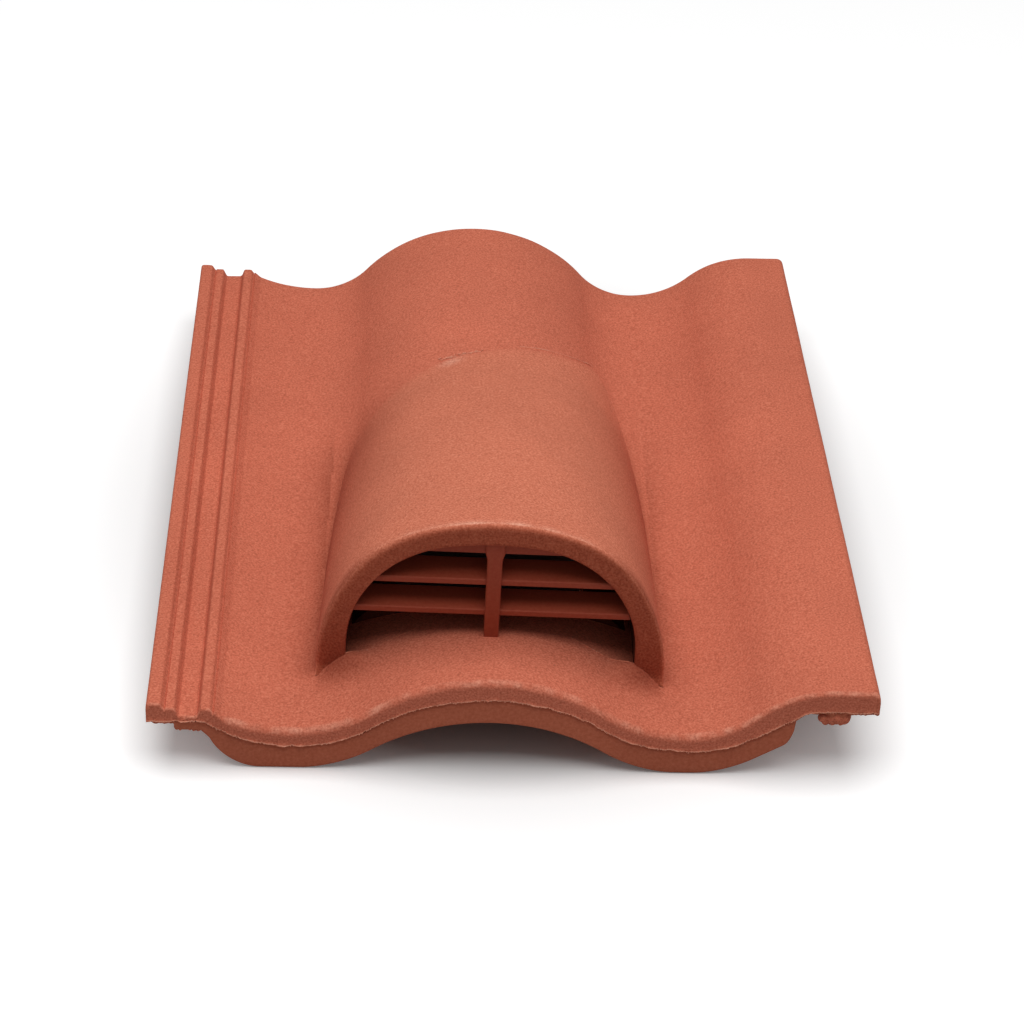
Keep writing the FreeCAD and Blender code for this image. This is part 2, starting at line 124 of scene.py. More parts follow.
def mesh_object(name: str, vertices: np.ndarray, faces: Sequence[Sequence[int]],
                materials: Sequence[bpy.types.Material],
                marks: Sequence[int] | None = None) -> bpy.types.Object:
    """Make a smooth-shaded object from points in millimetres.

    Args:
        name: Name of the piece.
        vertices: Points in millimetres, one row each.
        faces: Point numbers of each face, outside up.
        materials: Materials of the piece.
        marks: Which material each face has; the first one if left out.

    Returns:
        The new object, at the origin and linked to the scene.
    """
    mesh = bpy.data.meshes.new(name)
    mesh.from_pydata((np.asarray(vertices) * MM).tolist(), [], [list(face) for face in faces])
    for material in materials:
        mesh.materials.append(material)
    if marks is not None:
        mesh.polygons.foreach_set("material_index", np.asarray(marks, dtype=np.int32))
    mesh.polygons.foreach_set("use_smooth", [True] * len(mesh.polygons))
    mesh.validate()
    piece = bpy.data.objects.new(name, mesh)
    bpy.context.scene.collection.objects.link(piece)
    return piece


def apply_modifiers(piece: bpy.types.Object) -> None:
    """Turn a piece and its modifiers into a plain mesh.

    Args:
        piece: The piece to change.
    """
    graph = bpy.context.evaluated_depsgraph_get()
    mesh = bpy.data.meshes.new_from_object(piece.evaluated_get(graph), depsgraph=graph)
    piece.modifiers.clear()
    piece.data = mesh


def weld(piece: bpy.types.Object, distance_mm: float) -> None:
    """Join points that lie within a distance of each other.

    Args:
        piece: The piece to change.
        distance_mm: The distance in millimetres.
    """
    modifier = piece.modifiers.new("weld", "WELD")
    modifier.merge_threshold = distance_mm * MM
    apply_modifiers(piece)


def sharpen(piece: bpy.types.Object, degrees: float) -> None:
    """Shade edges sharper than an angle as corners."""
    piece.data.set_sharp_from_angle(angle=math.radians(degrees))


def mark_points(piece: bpy.types.Object, name: str, values: np.ndarray) -> None:
    """Give the points of a piece a number each, which its materials read."""
    piece.data.attributes.new(name, "FLOAT", "POINT").data.foreach_set("value", values.ravel())


class Grid:
    """Rows of points joined into quads, collected into one mesh."""

    def __init__(self) -> None:
        """Start with no points."""
        self.points: list[np.ndarray] = []
        self.faces: list[tuple[int, ...]] = []
        self.marks: list[int] = []
        self.count = 0

    def add(self, rows: np.ndarray) -> np.ndarray:
        """Add rows of points.

        Args:
            rows: Points in millimetres, row by row.

        Returns:
            The number of each point, in the shape of the rows.
        """
        numbers = np.arange(self.count, self.count + rows.shape[0] * rows.shape[1])
        self.points.append(rows.reshape(-1, 3))
        self.count += len(numbers)
        return numbers.reshape(rows.shape[:2])

    def skin(self, numbers: np.ndarray, flip: bool = False, marks: Sequence[int] | int = 0) -> None:
        """Join neighbouring rows with quads.

        Args:
            numbers: Point numbers, row by row.
            flip: Whether the outside is on the other side.
            marks: Material number of all the rows, or of each gap between two rows.
        """
        a, b, c, d = numbers[:-1, :-1], numbers[:-1, 1:], numbers[1:, 1:], numbers[1:, :-1]
        corners = (a, d, c, b) if flip else (a, b, c, d)
        self.faces.extend(map(tuple, np.stack(corners, axis=-1).reshape(-1, 4).tolist()))
        row_marks = [marks] * (len(numbers) - 1) if isinstance(marks, int) else list(marks)
        self.marks.extend(np.repeat(row_marks, numbers.shape[1] - 1).tolist())

    def polygon(self, numbers: Sequence[int], mark: int = 0) -> None:
        """Add one face with any number of corners."""
        self.faces.append(tuple(int(number) for number in numbers))
        self.marks.append(mark)

    def piece(self, name: str, materials: Sequence[bpy.types.Material]) -> bpy.types.Object:
        """Make the collected points and quads an object."""
        return mesh_object(name, np.concatenate(self.points), self.faces, materials, self.marks)


@dataclass(frozen=True)
class Concrete:
    """Through-coloured cast concrete with a sanded or struck face.

    Sand and cement colour differ from grain to grain, so the face is speckled and dull, with a soft
    mottle where the mix was wetter and small open pits where air met the mould.
    """

    name: str
    shade: str
    body: str
    bloom: str
    grain_mm: float
    relief_mm: float
    pit_mm: float
    mottle_mm: float = 55.0
    roughness: float = 0.9
    gloss: float = 0.08
    speckle_steps: tuple[float, float, float] = (0.28, 0.5, 0.74)
    mottle_tones: tuple[float, float] = (0.94, 1.05)
    pit_tone: float = 0.8
    fades: tuple[tuple[str, str], ...] = ()

    def material(self) -> bpy.types.Material:
        """Build the procedural material.

        Returns:
            The new material.
        """
        material = bpy.data.materials.new(self.name)
        material.use_nodes = True
        tree = material.node_tree
        tree.nodes.clear()
        place = add_node(tree, "ShaderNodeTexCoord").outputs["Object"]
        grain = add_node(tree, "ShaderNodeTexNoise", {
            "Vector": place, "Scale": 1 / (self.grain_mm * MM), "Detail": 2.0, "Roughness": 0.65})
        mottle = add_node(tree, "ShaderNodeTexNoise", {
            "Vector": place, "Scale": 1 / (self.mottle_mm * MM), "Detail": 5.0, "Roughness": 0.6})
        pits = add_node(tree, "ShaderNodeTexVoronoi", {
            "Vector": place, "Scale": 1 / (self.pit_mm * MM), "Randomness": 1.0})
        low, mid, high = self.speckle_steps
        speckle = add_node(tree, "ShaderNodeValToRGB", {"Fac": grain.outputs["Fac"]})
        speckle.color_ramp.elements[0].position = low
        speckle.color_ramp.elements[0].color = linear(self.shade)
        speckle.color_ramp.elements[1].position = high
        speckle.color_ramp.elements[1].color = linear(self.bloom)
        speckle.color_ramp.elements.new(mid).color = linear(self.body)
        cloud = add_node(tree, "ShaderNodeMapRange", {
            "Value": mottle.outputs["Fac"], "From Min": 0.3, "From Max": 0.7,
            "To Min": self.mottle_tones[0], "To Max": self.mottle_tones[1]})
        hole = add_node(tree, "ShaderNodeMapRange", {
            "Value": pits.outputs["Distance"], "From Min": 0.03, "From Max": 0.09,
            "To Min": self.pit_tone, "To Max": 1.0})
        tone = add_node(tree, "ShaderNodeMath", {0: cloud.outputs[0], 1: hole.outputs[0]},
                        operation="MULTIPLY")
        colour = add_node(tree, "ShaderNodeMix", {
            "Factor": 1.0, "A": speckle.outputs["Color"], "B": tone.outputs[0]},
            data_type="RGBA", blend_type="MULTIPLY")
        base = colour.outputs["Result"]
        # Wear with a painted highlight, dust with painted shade, the ring's painted shade and feathering are
        # shares marked on the points; each one tints the body's colour.
        for attribute, body in self.fades:
            share = add_node(tree, "ShaderNodeAttribute", attribute_name=attribute)
            ratio = [after / before for after, before in zip(linear(body), linear(self.body))]
            base = add_node(tree, "ShaderNodeMix", {"Factor": share.outputs["Fac"], "A": base, "B": ratio},
                            data_type="RGBA", blend_type="MULTIPLY").outputs["Result"]
        relief = add_node(tree, "ShaderNodeMath", {0: grain.outputs["Fac"], 1: hole.outputs[0]},
                          operation="MULTIPLY")
        bump = add_node(tree, "ShaderNodeBump", {
            "Strength": 1.0, "Distance": self.relief_mm * MM, "Height": relief.outputs[0]})
        shader = add_node(tree, "ShaderNodeBsdfPrincipled", {
            "Base Color": base, "Roughness": self.roughness,
            "Specular IOR Level": self.gloss, "Normal": bump.outputs["Normal"]})
        add_node(tree, "ShaderNodeOutputMaterial", {"Surface": shader.outputs["BSDF"]})
        return material


@dataclass(frozen=True)
class MouldedPlastic:
    """Injection-moulded polypropylene: one colour all through, with a faint satin from the mould.

    The mould's own texture is too fine to show at the camera's distance, so it is drawn at 1.4 mm.
    """

    name: str
    body: str
    wear_and_highlight: str
    grain_mm: float = 1.4
    relief_mm: float = 0.05
    roughness: float = 0.5
    ior: float = 1.49
    gloss: float = 0.15

    def material(self) -> bpy.types.Material:
        """Build the procedural material.

        Returns:
            The new material.
        """
        material = bpy.data.materials.new(self.name)
        material.use_nodes = True
        tree = material.node_tree
        tree.nodes.clear()
        place = add_node(tree, "ShaderNodeTexCoord").outputs["Object"]
        grain = add_node(tree, "ShaderNodeTexNoise", {
            "Vector": place, "Scale": 1 / (self.grain_mm * MM), "Detail": 3.0})
        dust = add_node(tree, "ShaderNodeMapRange", {
            "Value": grain.outputs["Fac"], "From Min": 0.35, "From Max": 0.7})
        colour = add_node(tree, "ShaderNodeMix", {
            "Factor": dust.outputs[0], "A": linear(self.body), "B": linear(self.wear_and_highlight)}, data_type="RGBA")
        bump = add_node(tree, "ShaderNodeBump", {
            "Strength": 0.4, "Distance": self.relief_mm * MM, "Height": grain.outputs["Fac"]})
        shader = add_node(tree, "ShaderNodeBsdfPrincipled", {
            "Base Color": colour.outputs["Result"], "Roughness": self.roughness, "IOR": self.ior,
            "Specular IOR Level": self.gloss, "Normal": bump.outputs["Normal"]})
        add_node(tree, "ShaderNodeOutputMaterial", {"Surface": shader.outputs["BSDF"]})
        return material


class Finish(Enum):
    """The finishes of the part.

    Grain sizes are those of facing sand, 0.8 to 1 mm. On the struck face and the painted inside shade they
    are drawn coarser than the cement's own grain, at 1.4 to 1.6 mm, so that they show at the camera's
    distance.
    """

    # Sand pressed into the wet face: dull terracotta, speckled, paler on the nose's rounded edge from wear
    # and a painted highlight, darker in the creases by the hood from dust and painted shade.
    SANDED = Concrete("sand-faced concrete", "#AD5A44", "#CB6E55", "#DC8469", 1.0, 0.2, 9.0,
                      fades=(("wear_and_highlight", "#DF937A"), ("dust_and_shade", "#A3523D")))
    # Struck off against the mould: smoother, browner and more even than the sanded face.
    STRUCK = Concrete("struck concrete", "#B05D43", "#BA654B", "#C36E53", 1.6, 0.1, 5.0)
    # A leaner mix cast by itself: paler and grainier than the tile, but wiped to its colour at the seam,
    # with a painted highlight on the rim's crown, a cement smear, painted shade on the mouth's ring, and
    # dust and painted shade in the creases.
    HOOD = Concrete("hood concrete", "#B05F47", "#CF765B", "#E28F72", 1.0, 0.22, 11.0,
                    fades=(("feathered", "#CB6E55"), ("wear_and_highlight", "#E4A188"), ("ring_face_shade", "#A9543C"),
                           ("dust_and_shade", "#A3523D")))
    # Painted shade: a flat dark brown on the faces inside and under the hood, so the mouth reads as deep.
    INSIDE = Concrete("inside painted shade", "#4C2217", "#55281C", "#5E2F21", 1.4, 0.12, 7.0)
    # Fine cement squeezed out of the mould's joint: a pale, crumbly line.
    FLASH = Concrete("cement flash", "#C67A60", "#D98F75", "#E5A68E", 0.8, 0.2, 4.0)
    # Cement and water from the bedding: pale, dull and almost without grain.
    SLURRY = Concrete("cement slurry", "#C77D65", "#D38B73", "#DD9D87", 1.0, 0.12, 5.0)
    # Coloured all through: even dark red-brown, with a faint satin on its lips.
    LOUVRE = MouldedPlastic("moulded polypropylene", "#943E2A", "#9B4631")

    def material(self) -> bpy.types.Material:
        """The finish's material, built once."""
        found = bpy.data.materials.get(self.value.name)
        return found or self.value.material()


@dataclass(frozen=True)
class Wave:
    """Two arcs that meet without a corner: up from the bottom of a pan to the top of a roll."""

    foot: float
    foot_radius: float
    top: float
    run: float

    @property
    def top_radius(self) -> float:
        """Radius of the roll's arc."""
        rise = self.foot + self.foot_radius - self.top
        return (rise ** 2 + self.run ** 2 - self.foot_radius ** 2) / (2 * (self.foot_radius - rise))

    def height(self, out: np.ndarray, depth: float = 0.0) -> np.ndarray:
        """Height of the wave.

        Args:
            out: Run from the middle of the pan towards the roll.
            depth: How deep under the upper face the line lies.

        Returns:
            Heights above the resting plane.
        """
        share = (self.foot_radius + depth) / (self.foot_radius + self.top_radius)
        pan = self.foot - depth + drop(self.foot_radius + depth, out)
        roll = self.top - depth - drop(self.top_radius - depth, self.run - out)
        return np.where(out < self.run * share, pan, roll)


class TileFace(IntEnum):
    """Numbers of the tile's finishes, by the name of each."""

    SANDED = 0
    STRUCK = 1
    FLASH = 2
    INSIDE = 3


class HoodFace(IntEnum):
    """Numbers of the hood's finishes, by the name of each."""

    HOOD = 0
    INSIDE = 1


class Zone(Enum):
    """Stretches of the tile that differ underneath, from the head to the nose."""

    SHELL = "shell"
    SILL = "sill"
    NOSE = "nose"


@dataclass(frozen=True)
class Station:
    """A section of the tile: its place, its stretch and how its upper edge is rounded."""

    y: float
    zone: Zone
    dip: float = 0.0
    nose_turn: float | None = None


@dataclass
class Tile:
    """The cast interlocking tile, with its lock, wave, cover roll, thick nose and nibs."""

    width: float
    length: float
    thickness: float = 10.5
    pan_height: float = 21.5
    bearing_flat: float = 0.3
    lock_pan_run: float = 31.0
    cover_run: float = 66.5
    pan_radius: float = 38.6
    roll_rise: float = 40.5
    lock_pan_radius: float = 79.0
    sill_length: float = 70.0
    sill_rise: float = 22.5
    sill_pan_radius: float = 18.0
    nose_rise: float = 28.7
    nose_pan_radius: float = 65.0
    sill_fade: float = 36.0
    nose_round: float = 3.6
    nose_depth: float = 30.0
    nose_arch: float = 26.6
    nose_under_radius: float = 67.0
    nose_lock_radius: float = 27.0
    nose_lock_flat: float = 11.5
    nose_cover_radius: float = 61.5
    nose_cover_run: float = 32.0
    nose_band: float = 13.3
    band_lock_radius: float = 64.0
    nose_setback: float = 0.6
    lock_tops: tuple[float, ...] = (35.0, 32.5, 28.2, 32.5)
    lock_widths: tuple[float, ...] = (6.5, 4.0, 7.7, 4.3)
    lock_slope: float = 2.0
    lock_apron: float = 5.0
    lock_lip_floor: float = 25.3
    lock_lip_width: float = 11.5
    lock_thickness: float = 7.9
    side_lap: float = 37.0
    cover_rise: float = 25.5
    cover_flat: float = 20.0
    cover_pan_radius: float = 48.4
    cover_corner: float = 4.0
    cover_rib_width: float = 5.0
    lock_clearance: float = 0.5
    nib_width: float = 36.0
    nib_length: float = 18.0
    nib_from_head: float = 14.0
    throat_width: float = 88.0
    throat_length: float = 105.0
    throat_corner: float = 14.0
    edge_round: float = 1.4
    unevenness: float = 0.35
    hood_offset: float = 1.0
    cover_nose_round: float = 2.4
    wall_round: float = 5.0
    rib_crown: float = 0.9
    grit: float = 0.22
    lock_blend: float = 1.5
    rib_slope: float = 1.0
    wall_break: float = 0.4
    least_edge: float = 1.0
    shade_behind: float = 45.0
    shade_share: float = 0.72
    mortar: Callable[[np.ndarray, np.ndarray, np.ndarray], np.ndarray] | None = None
    # Dust and painted shade along the hood, given by the hood.
    crease_dust_and_shade: Callable[[np.ndarray, np.ndarray], np.ndarray] | None = None
    lock_points: tuple[list[float], list[float]] = field(init=False)

    def __post_init__(self) -> None:
        """Work out the places that the sections share."""
        self.left, self.right = -self.width / 2, self.width / 2
        self.nose, self.head = -self.length / 2, self.length / 2
        self.sill = self.nose + self.sill_length
        xs, zs, place = [], [], self.left
        for top, wide in zip(self.lock_tops, self.lock_widths):
            xs += [place, place + wide]
            zs += [top, top]
            place += wide + self.lock_slope
        self.lock_inner = xs[6]
        self.lock_end = xs[7] + self.lock_apron
        self.left_pan = self.lock_end + self.lock_pan_run
        self.cover_start = self.right - self.cover_flat
        self.right_pan = self.cover_start - self.cover_run
        self.spacing = (self.right_pan - self.left_pan) / 2
        self.middle = (self.left_pan + self.right_pan) / 2
        self.cover_top = self.pan_height + self.cover_rise
        self.cover_wall = self.right - self.side_lap - self.lock_clearance
        self.cover_ceiling = self.lock_tops[0] + self.lock_clearance
        self.rib_middle = (xs[4] + xs[5]) / 2 + self.width - self.side_lap
        xs.append(self.lock_end)
        zs.append(self.pan_height + float(drop(self.lock_pan_radius, self.lock_pan_run)))
        self.lock_points = xs, zs
        foot = self.pan_height
        self.roll_wave = Wave(foot, self.pan_radius, foot + self.roll_rise, self.spacing)
        self.sill_wave = Wave(foot, self.sill_pan_radius, foot + self.sill_rise, self.spacing)
        self.nose_wave = Wave(foot, self.nose_pan_radius, foot + self.nose_rise, self.spacing)
        self.arch_wave = Wave(-self.bearing_flat, self.nose_under_radius, self.nose_arch, self.spacing)
        self.cover_wave = Wave(foot, self.cover_pan_radius, self.cover_top, self.cover_run)

    def soft_lock(self, x: np.ndarray, reach: float = 0.8) -> np.ndarray:
        """Heights of the lock's ribs and channel, with their corners worn round.

        Args:
            x: Places across the tile.
            reach: How far to each side the heights are blended.

        Returns:
            Heights above the resting plane.
        """
        xs, zs = self.lock_points
        crown, past = np.zeros_like(x), 1.3
        for start, stop in ((xs[0], xs[1]), (xs[6], xs[7])):
            share = np.clip(np.abs(x - (start + stop) / 2) / ((stop - start) / 2 + reach), 0.0, past)
            crown = np.where(share < past, self.rib_crown * np.minimum(share, 1.0) ** 4, crown)
        offsets = np.linspace(-reach, reach, 9)
        weights = np.cos(offsets / reach * math.pi / 2) ** 2
        run_on = [self.lock_end + step for step in (1.0, 2.0, 3.0)]
        rises = [float(drop(self.lock_pan_radius, self.left_pan - place)) for place in run_on]
        xs, zs = xs + run_on, zs + [self.pan_height + rise for rise in rises]
        soft = sum(w * np.interp(x + o, xs, zs) for w, o in zip(weights, offsets)) / weights.sum()
        return soft - crown

    def section(self, x: np.ndarray, wave: Wave) -> np.ndarray:
        """Heights of the upper face across the tile, where its roll has a given wave.

        Args:
            x: Places across the tile.
            wave: The wave of the roll there.

        Returns:
            Heights above the resting plane.
        """
        height = wave.height(self.spacing - np.abs(x - self.middle))
        lock_side = self.pan_height + drop(self.lock_pan_radius, self.left_pan - x)
        height = np.where(x < self.left_pan, lock_side, height)
        cover = self.cover_wave.height(np.minimum(x - self.right_pan, self.cover_run))
        height = np.where(x > self.right_pan, cover, height)
        corner = np.maximum(x - (self.right - self.cover_corner), 0.0)
        height = height - drop(self.cover_corner, corner)
        height = np.where(x < self.lock_end + self.lock_blend, self.soft_lock(x), height)
        edge = np.maximum(self.left + self.edge_round - x, 0.0)
        return height - drop(self.edge_round, edge)

    def top(self, x: np.ndarray, y: np.ndarray | float) -> np.ndarray:
        """Heights of the upper face, before the nose is rounded.

        Where the sill stands higher than the shell behind it, beside the hood's legs, it runs out softly.

        Args:
            x: Places across the tile.
            y: Places along it, of the same shape or a single one.

        Returns:
            Heights above the resting plane.
        """
        share = np.clip((self.sill - y) / self.sill_length, 0.0, 1.0)
        edge, shell = self.section(x, self.sill_wave), self.section(x, self.roll_wave)
        front = (1 - share) * edge + share * self.section(x, self.nose_wave)
        fade = np.clip(1 - (y - self.sill) / self.sill_fade, 0.0, 1.0)
        shell = shell + np.maximum(edge - shell, 0.0) * ease(fade)
        return np.where(np.asarray(y) < self.sill, front, shell)

    def bedded_top(self, x: np.ndarray, y: np.ndarray) -> np.ndarray:
        """Heights of the upper face with the mortar that beds the hood."""
        height = self.top(x, y)
        return height + self.mortar(x, y, height) if self.mortar else height

    def cover_floor(self, x: np.ndarray, floor: np.ndarray) -> np.ndarray:
        """Underside across the tile, with the recess and hanging rib of the cover roll put in.

        Args:
            x: Places across the tile.
            floor: Heights of the underside without them.

        Returns:
            Heights above the resting plane.
        """
        half = self.cover_rib_width / 2
        start, stop = self.rib_middle - half, self.rib_middle + half
        xs = [start - self.rib_slope, start, stop, stop + self.rib_slope]
        rib = self.lock_tops[2] + self.lock_clearance
        recess = np.interp(x, xs, [self.cover_ceiling, rib, rib, self.cover_ceiling])
        share = np.clip((x - self.cover_wall) / self.wall_round + 1, 0.0, 1.0)
        broken = floor + self.wall_break * share ** 3 * (self.cover_ceiling - floor)
        return np.where(x > self.cover_wall, recess, broken)

    def nose_cover(self, x: np.ndarray) -> np.ndarray:
        """Heights under the nose from the right pan on: an arc, then a straight slope.

        Args:
            x: Places across the tile.

        Returns:
            Heights above the resting plane.
        """
        run, radius = self.nose_cover_run, self.nose_cover_radius
        out = np.maximum(x - self.right_pan, 0.0)
        slope = run / math.sqrt(radius ** 2 - run ** 2)
        return drop(radius, np.minimum(out, run)) - self.bearing_flat + np.maximum(out - run, 0.0) * slope

    def bottom(self, x: np.ndarray, zone: Zone) -> np.ndarray:
        """Heights of the underside across one stretch of the tile.

        Args:
            x: Places across the tile.
            zone: Which stretch.

        Returns:
            Heights above the resting plane.
        """
        deep = self.thickness
        if zone is Zone.NOSE:
            floor = self.arch_wave.height(self.spacing - np.abs(x - self.middle))
            left_run = np.maximum(self.left_pan - self.nose_lock_flat - x, 0.0)
            left = drop(self.nose_lock_radius, left_run) - self.bearing_flat
            right = self.nose_cover(x)
            seat = self.lock_inner + 2 * self.lock_slope
        else:
            wave = self.roll_wave if zone is Zone.SHELL else self.sill_wave
            floor = wave.height(self.spacing - np.abs(x - self.middle), deep)
            left = self.pan_height - deep + drop(self.lock_pan_radius + deep, self.left_pan - x)
            right = self.cover_wave.height(x - self.right_pan, deep)
            seat = self.lock_inner + self.lock_slope
        floor = np.where(x < self.left_pan, left, np.where(x > self.right_pan, right, floor))
        floor = self.cover_floor(x, floor)
        floor = (floor + np.sqrt(np.square(floor) + self.bearing_flat ** 2)) / 2
        lip_end = self.left + self.lock_lip_width
        channel = self.lock_tops[2] - self.lock_thickness
        at_seat = float(np.interp(seat, x, floor))
        xs = [self.left, lip_end, lip_end + self.lock_slope, self.lock_inner, seat]
        zs = [self.lock_lip_floor, self.lock_lip_floor, channel, channel, at_seat]
        return np.where(x < seat, np.interp(x, xs, zs), floor)

    def across(self) -> np.ndarray:
        """Places across the tile where its points lie, closer at walls and corners.

        Returns:
            The places, from left to right.
        """
        even = np.linspace(self.left, self.right, 320)
        lock = np.arange(self.left, self.lock_end + 2, 0.35)
        near = [self.left + self.edge_round * s for s in (0.1, 0.3, 0.6)]
        near += [self.right - self.cover_corner * (1 - math.sin(a)) for a in np.linspace(0.2, 1.5, 9)]
        half = self.cover_rib_width / 2
        walls = [self.cover_wall, self.rib_middle - half, self.rib_middle + half]
        for pan in (self.left_pan, self.right_pan):
            walls += [pan - self.nib_width / 2, pan + self.nib_width / 2]
        near += [wall + side for wall in walls for side in (-0.25, 0.25)]
        places = np.unique(np.round(np.concatenate([even, lock, near, [self.left, self.right]]), 3))
        return places[np.concatenate([[True], np.diff(places) > 0.04])]

    def stations(self) -> list[Station]:
        """Places along the tile where its sections lie.

        Returns:
            The sections, from head to nose.
        """
        beside, apart = 0.3, 0.2
        rows = []
        for angle in np.radians([80, 55, 30, 0]):
            back, dip = self.edge_round * (1 - math.sin(angle)), self.edge_round * (1 - math.cos(angle))
            rows.append(Station(self.head - back, Zone.SHELL, dip))
        nib_back = self.head - self.nib_from_head
        nib_front = nib_back - self.nib_length
        places = [nib_back + beside, nib_back - beside, nib_front + beside, nib_front - beside]
        places += list(np.arange(nib_front - 6, self.sill + 2, -4.0)) + [self.sill + apart]
        rows += [Station(place, Zone.SHELL) for place in places]
        heel, brow = self.nose + self.nose_depth, self.nose + self.nose_round + 1
        rows += [Station(place, Zone.SILL) for place in np.linspace(self.sill - apart, heel + apart, 24)]
        rows += [Station(place, Zone.NOSE) for place in np.linspace(heel - apart, brow, 12)]
        rows += [Station(self.nose + self.nose_round * (1 - math.sin(angle)), Zone.NOSE, 0.0, angle)
                 for angle in np.radians(np.linspace(0, 86, 13))]
        return rows

    def underside_rows(self) -> list[int]:
        """Numbers of the sections that the underside needs: all at its steps, every fourth between them.

        Returns:
            The numbers, from head to nose.
        """
        zones = [station.zone for station in self.stations()]
        steps = [0, len(zones) - 1] + [i for i in range(1, len(zones)) if zones[i] is not zones[i - 1]]
        steps += [i - 1 for i in steps[2:]]
        return [i for i, zone in enumerate(zones)
                if i < 9 or i in steps or i % (2 if zone is Zone.NOSE else 4) == 0]

    def nose_radius(self, x: np.ndarray) -> np.ndarray:
        """Radius of the nose's upper edge across the tile: small on the lock, full on the waves.

        Args:
            x: Places across the tile.

        Returns:
            A radius for each place.
        """
        share = np.clip((x - self.lock_end + 3.0) / 8.0, 0.0, 1.0)
        full = self.edge_round + (self.nose_round - self.edge_round) * ease(share)
        share = np.clip((x - self.right_pan - 8.0) / 40.0, 0.0, 1.0)
        return full + (self.cover_nose_round - full) * ease(share)

    def uneven(self, points: np.ndarray) -> np.ndarray:
        """Points moved up or down by the slight unevenness of a cast face.

        Args:
            points: Points in millimetres.

        Returns:
            The moved points.
        """
        flat = points.reshape(-1, 3)
        broad = [noise.noise(Vector((p[0] / 46, p[1] / 60, 3.1))) for p in flat]
        close = [0.4 * noise.noise(Vector((p[0] / 13, p[1] / 15, 8.7))) for p in flat]
        lift = np.add(broad, close).reshape(points.shape[:-1])
        moved = points.copy()
        moved[..., 2] += self.unevenness * lift
        return moved

    def gritty(self, points: np.ndarray) -> np.ndarray:
        """Points near the nose's edge moved out or in by the coarse sand that sticks out there.

        Args:
            points: Points of the upper face.

        Returns:
            The moved points.
        """
        near = np.clip(1 - (points[..., 1] - self.nose) / (3 * self.nose_round), 0.0, 1.0)
        grains = [noise.noise(Vector(p) / 2.3) + 0.6 * noise.noise(Vector(p) / 1.2)
                  for p in points.reshape(-1, 3)]
        lift = self.grit * near * np.array(grains).reshape(points.shape[:-1])
        return points + lift[..., None] * np.array([0.0, -0.7, 0.7])

    def build(self) -> bpy.types.Object:
        """Build the tile as one closed mesh.

        Returns:
            The tile, with sanded, struck and flashed faces.
        """
        x = self.across()
        grid = Grid()
        upper, lower = [], []
        nib_back = self.head - self.nib_from_head
        for station in self.stations():
            y, dip = np.full_like(x, station.y), np.full_like(x, station.dip)
            if station.nose_turn is not None:
                y = self.nose + self.nose_radius(x) * (1 - math.sin(station.nose_turn))
                dip = self.nose_radius(x) * (1 - math.cos(station.nose_turn))
            upper.append(np.stack([x, y, self.bedded_top(x, y) - dip], axis=-1))
            y = station.y
            floor = self.bottom(x, station.zone)
            if nib_back - self.nib_length <= y <= nib_back:
                for pan in (self.left_pan, self.right_pan):
                    floor = np.where(np.abs(x - pan) < self.nib_width / 2, 0.0, floor)
            front = y - self.nose
            floor = floor + drop(self.edge_round, max(self.edge_round - front, 0.0))
            if front < 0.5 * self.nose_round:
                floor = np.minimum(floor, self.skirt(x))
            back = self.nose_setback * max(1 - front / (3 * self.edge_round), 0.0)
            lower.append(np.stack([x, np.full_like(x, y + back), floor], axis=-1))
        top_points = self.gritty(self.uneven(np.stack(upper)))
        low_points = np.stack(lower)
        top_points[..., 2] = np.maximum(top_points[..., 2], low_points[..., 2] + self.least_edge)
        kept = self.underside_rows()
        top_numbers = grid.add(top_points)
        low_numbers = grid.add(low_points[kept])
        grid.skin(top_numbers, flip=True)
        grid.skin(low_numbers, marks=TileFace.STRUCK)
        # The faces under the hood take the painted inside shade.
        self.paint_inside_shade(grid, top_points)
        for number, (start, stop) in enumerate(zip(kept[:-1], kept[1:])):
            for column, way in ((0, -1), (-1, 1)):
                below = [low_numbers[number + 1, column], low_numbers[number, column]]
                grid.polygon([*top_numbers[start:stop + 1, column], *below][::way])
        grid.skin(np.stack([top_numbers[0], low_numbers[0]]))
        self.build_nose(grid, x, low_numbers[-1], low_points[-1], top_numbers[-1], top_points[-1])
        piece = grid.piece("cast_tile", [Finish[face.name].material() for face in TileFace])
        self.weather(piece, top_points)
        weld(piece, distance_mm=0.02)
        self.cut_throat(piece)
        sharpen(piece, degrees=50)
        return piece

    def weather(self, piece: bpy.types.Object, points: np.ndarray) -> None:
        """Mark where the upper face is paler along the nose's edge, from wear and a painted highlight, and
        darker along the hood, from dust and painted shade.

        Args:
            piece: The tile, before its points are welded.
            points: Points of the upper face, which come first in the mesh.
        """
        count, upper = len(piece.data.vertices), points[..., 0].size
        turns = [station.nose_turn for station in self.stations()]
        # Wear and a painted highlight, strongest part way round the nose's rounded edge.
        edge_highlight_share = np.array([0.0 if turn is None else max(math.sin(2.4 * turn), 0.0) for turn in turns])
        highlight_and_rub = [0.25 + 0.7 * noise.noise(Vector(p) / 5.0) for p in points.reshape(-1, 3)]
        share = edge_highlight_share[:, None] * np.array(highlight_and_rub).reshape(points.shape[:2])
        wear_and_highlight, dust_and_shade = np.zeros(count), np.zeros(count)
        wear_and_highlight[:upper] = np.clip(share, 0.0, 1.0).ravel()
        # Dust and painted shade along the hood's flanks and before its feet.
        if self.crease_dust_and_shade:
            dust_and_shade[:upper] = self.crease_dust_and_shade(points[..., 0], points[..., 1]).ravel()
        mark_points(piece, "wear_and_highlight", wear_and_highlight)
        mark_points(piece, "dust_and_shade", dust_and_shade)

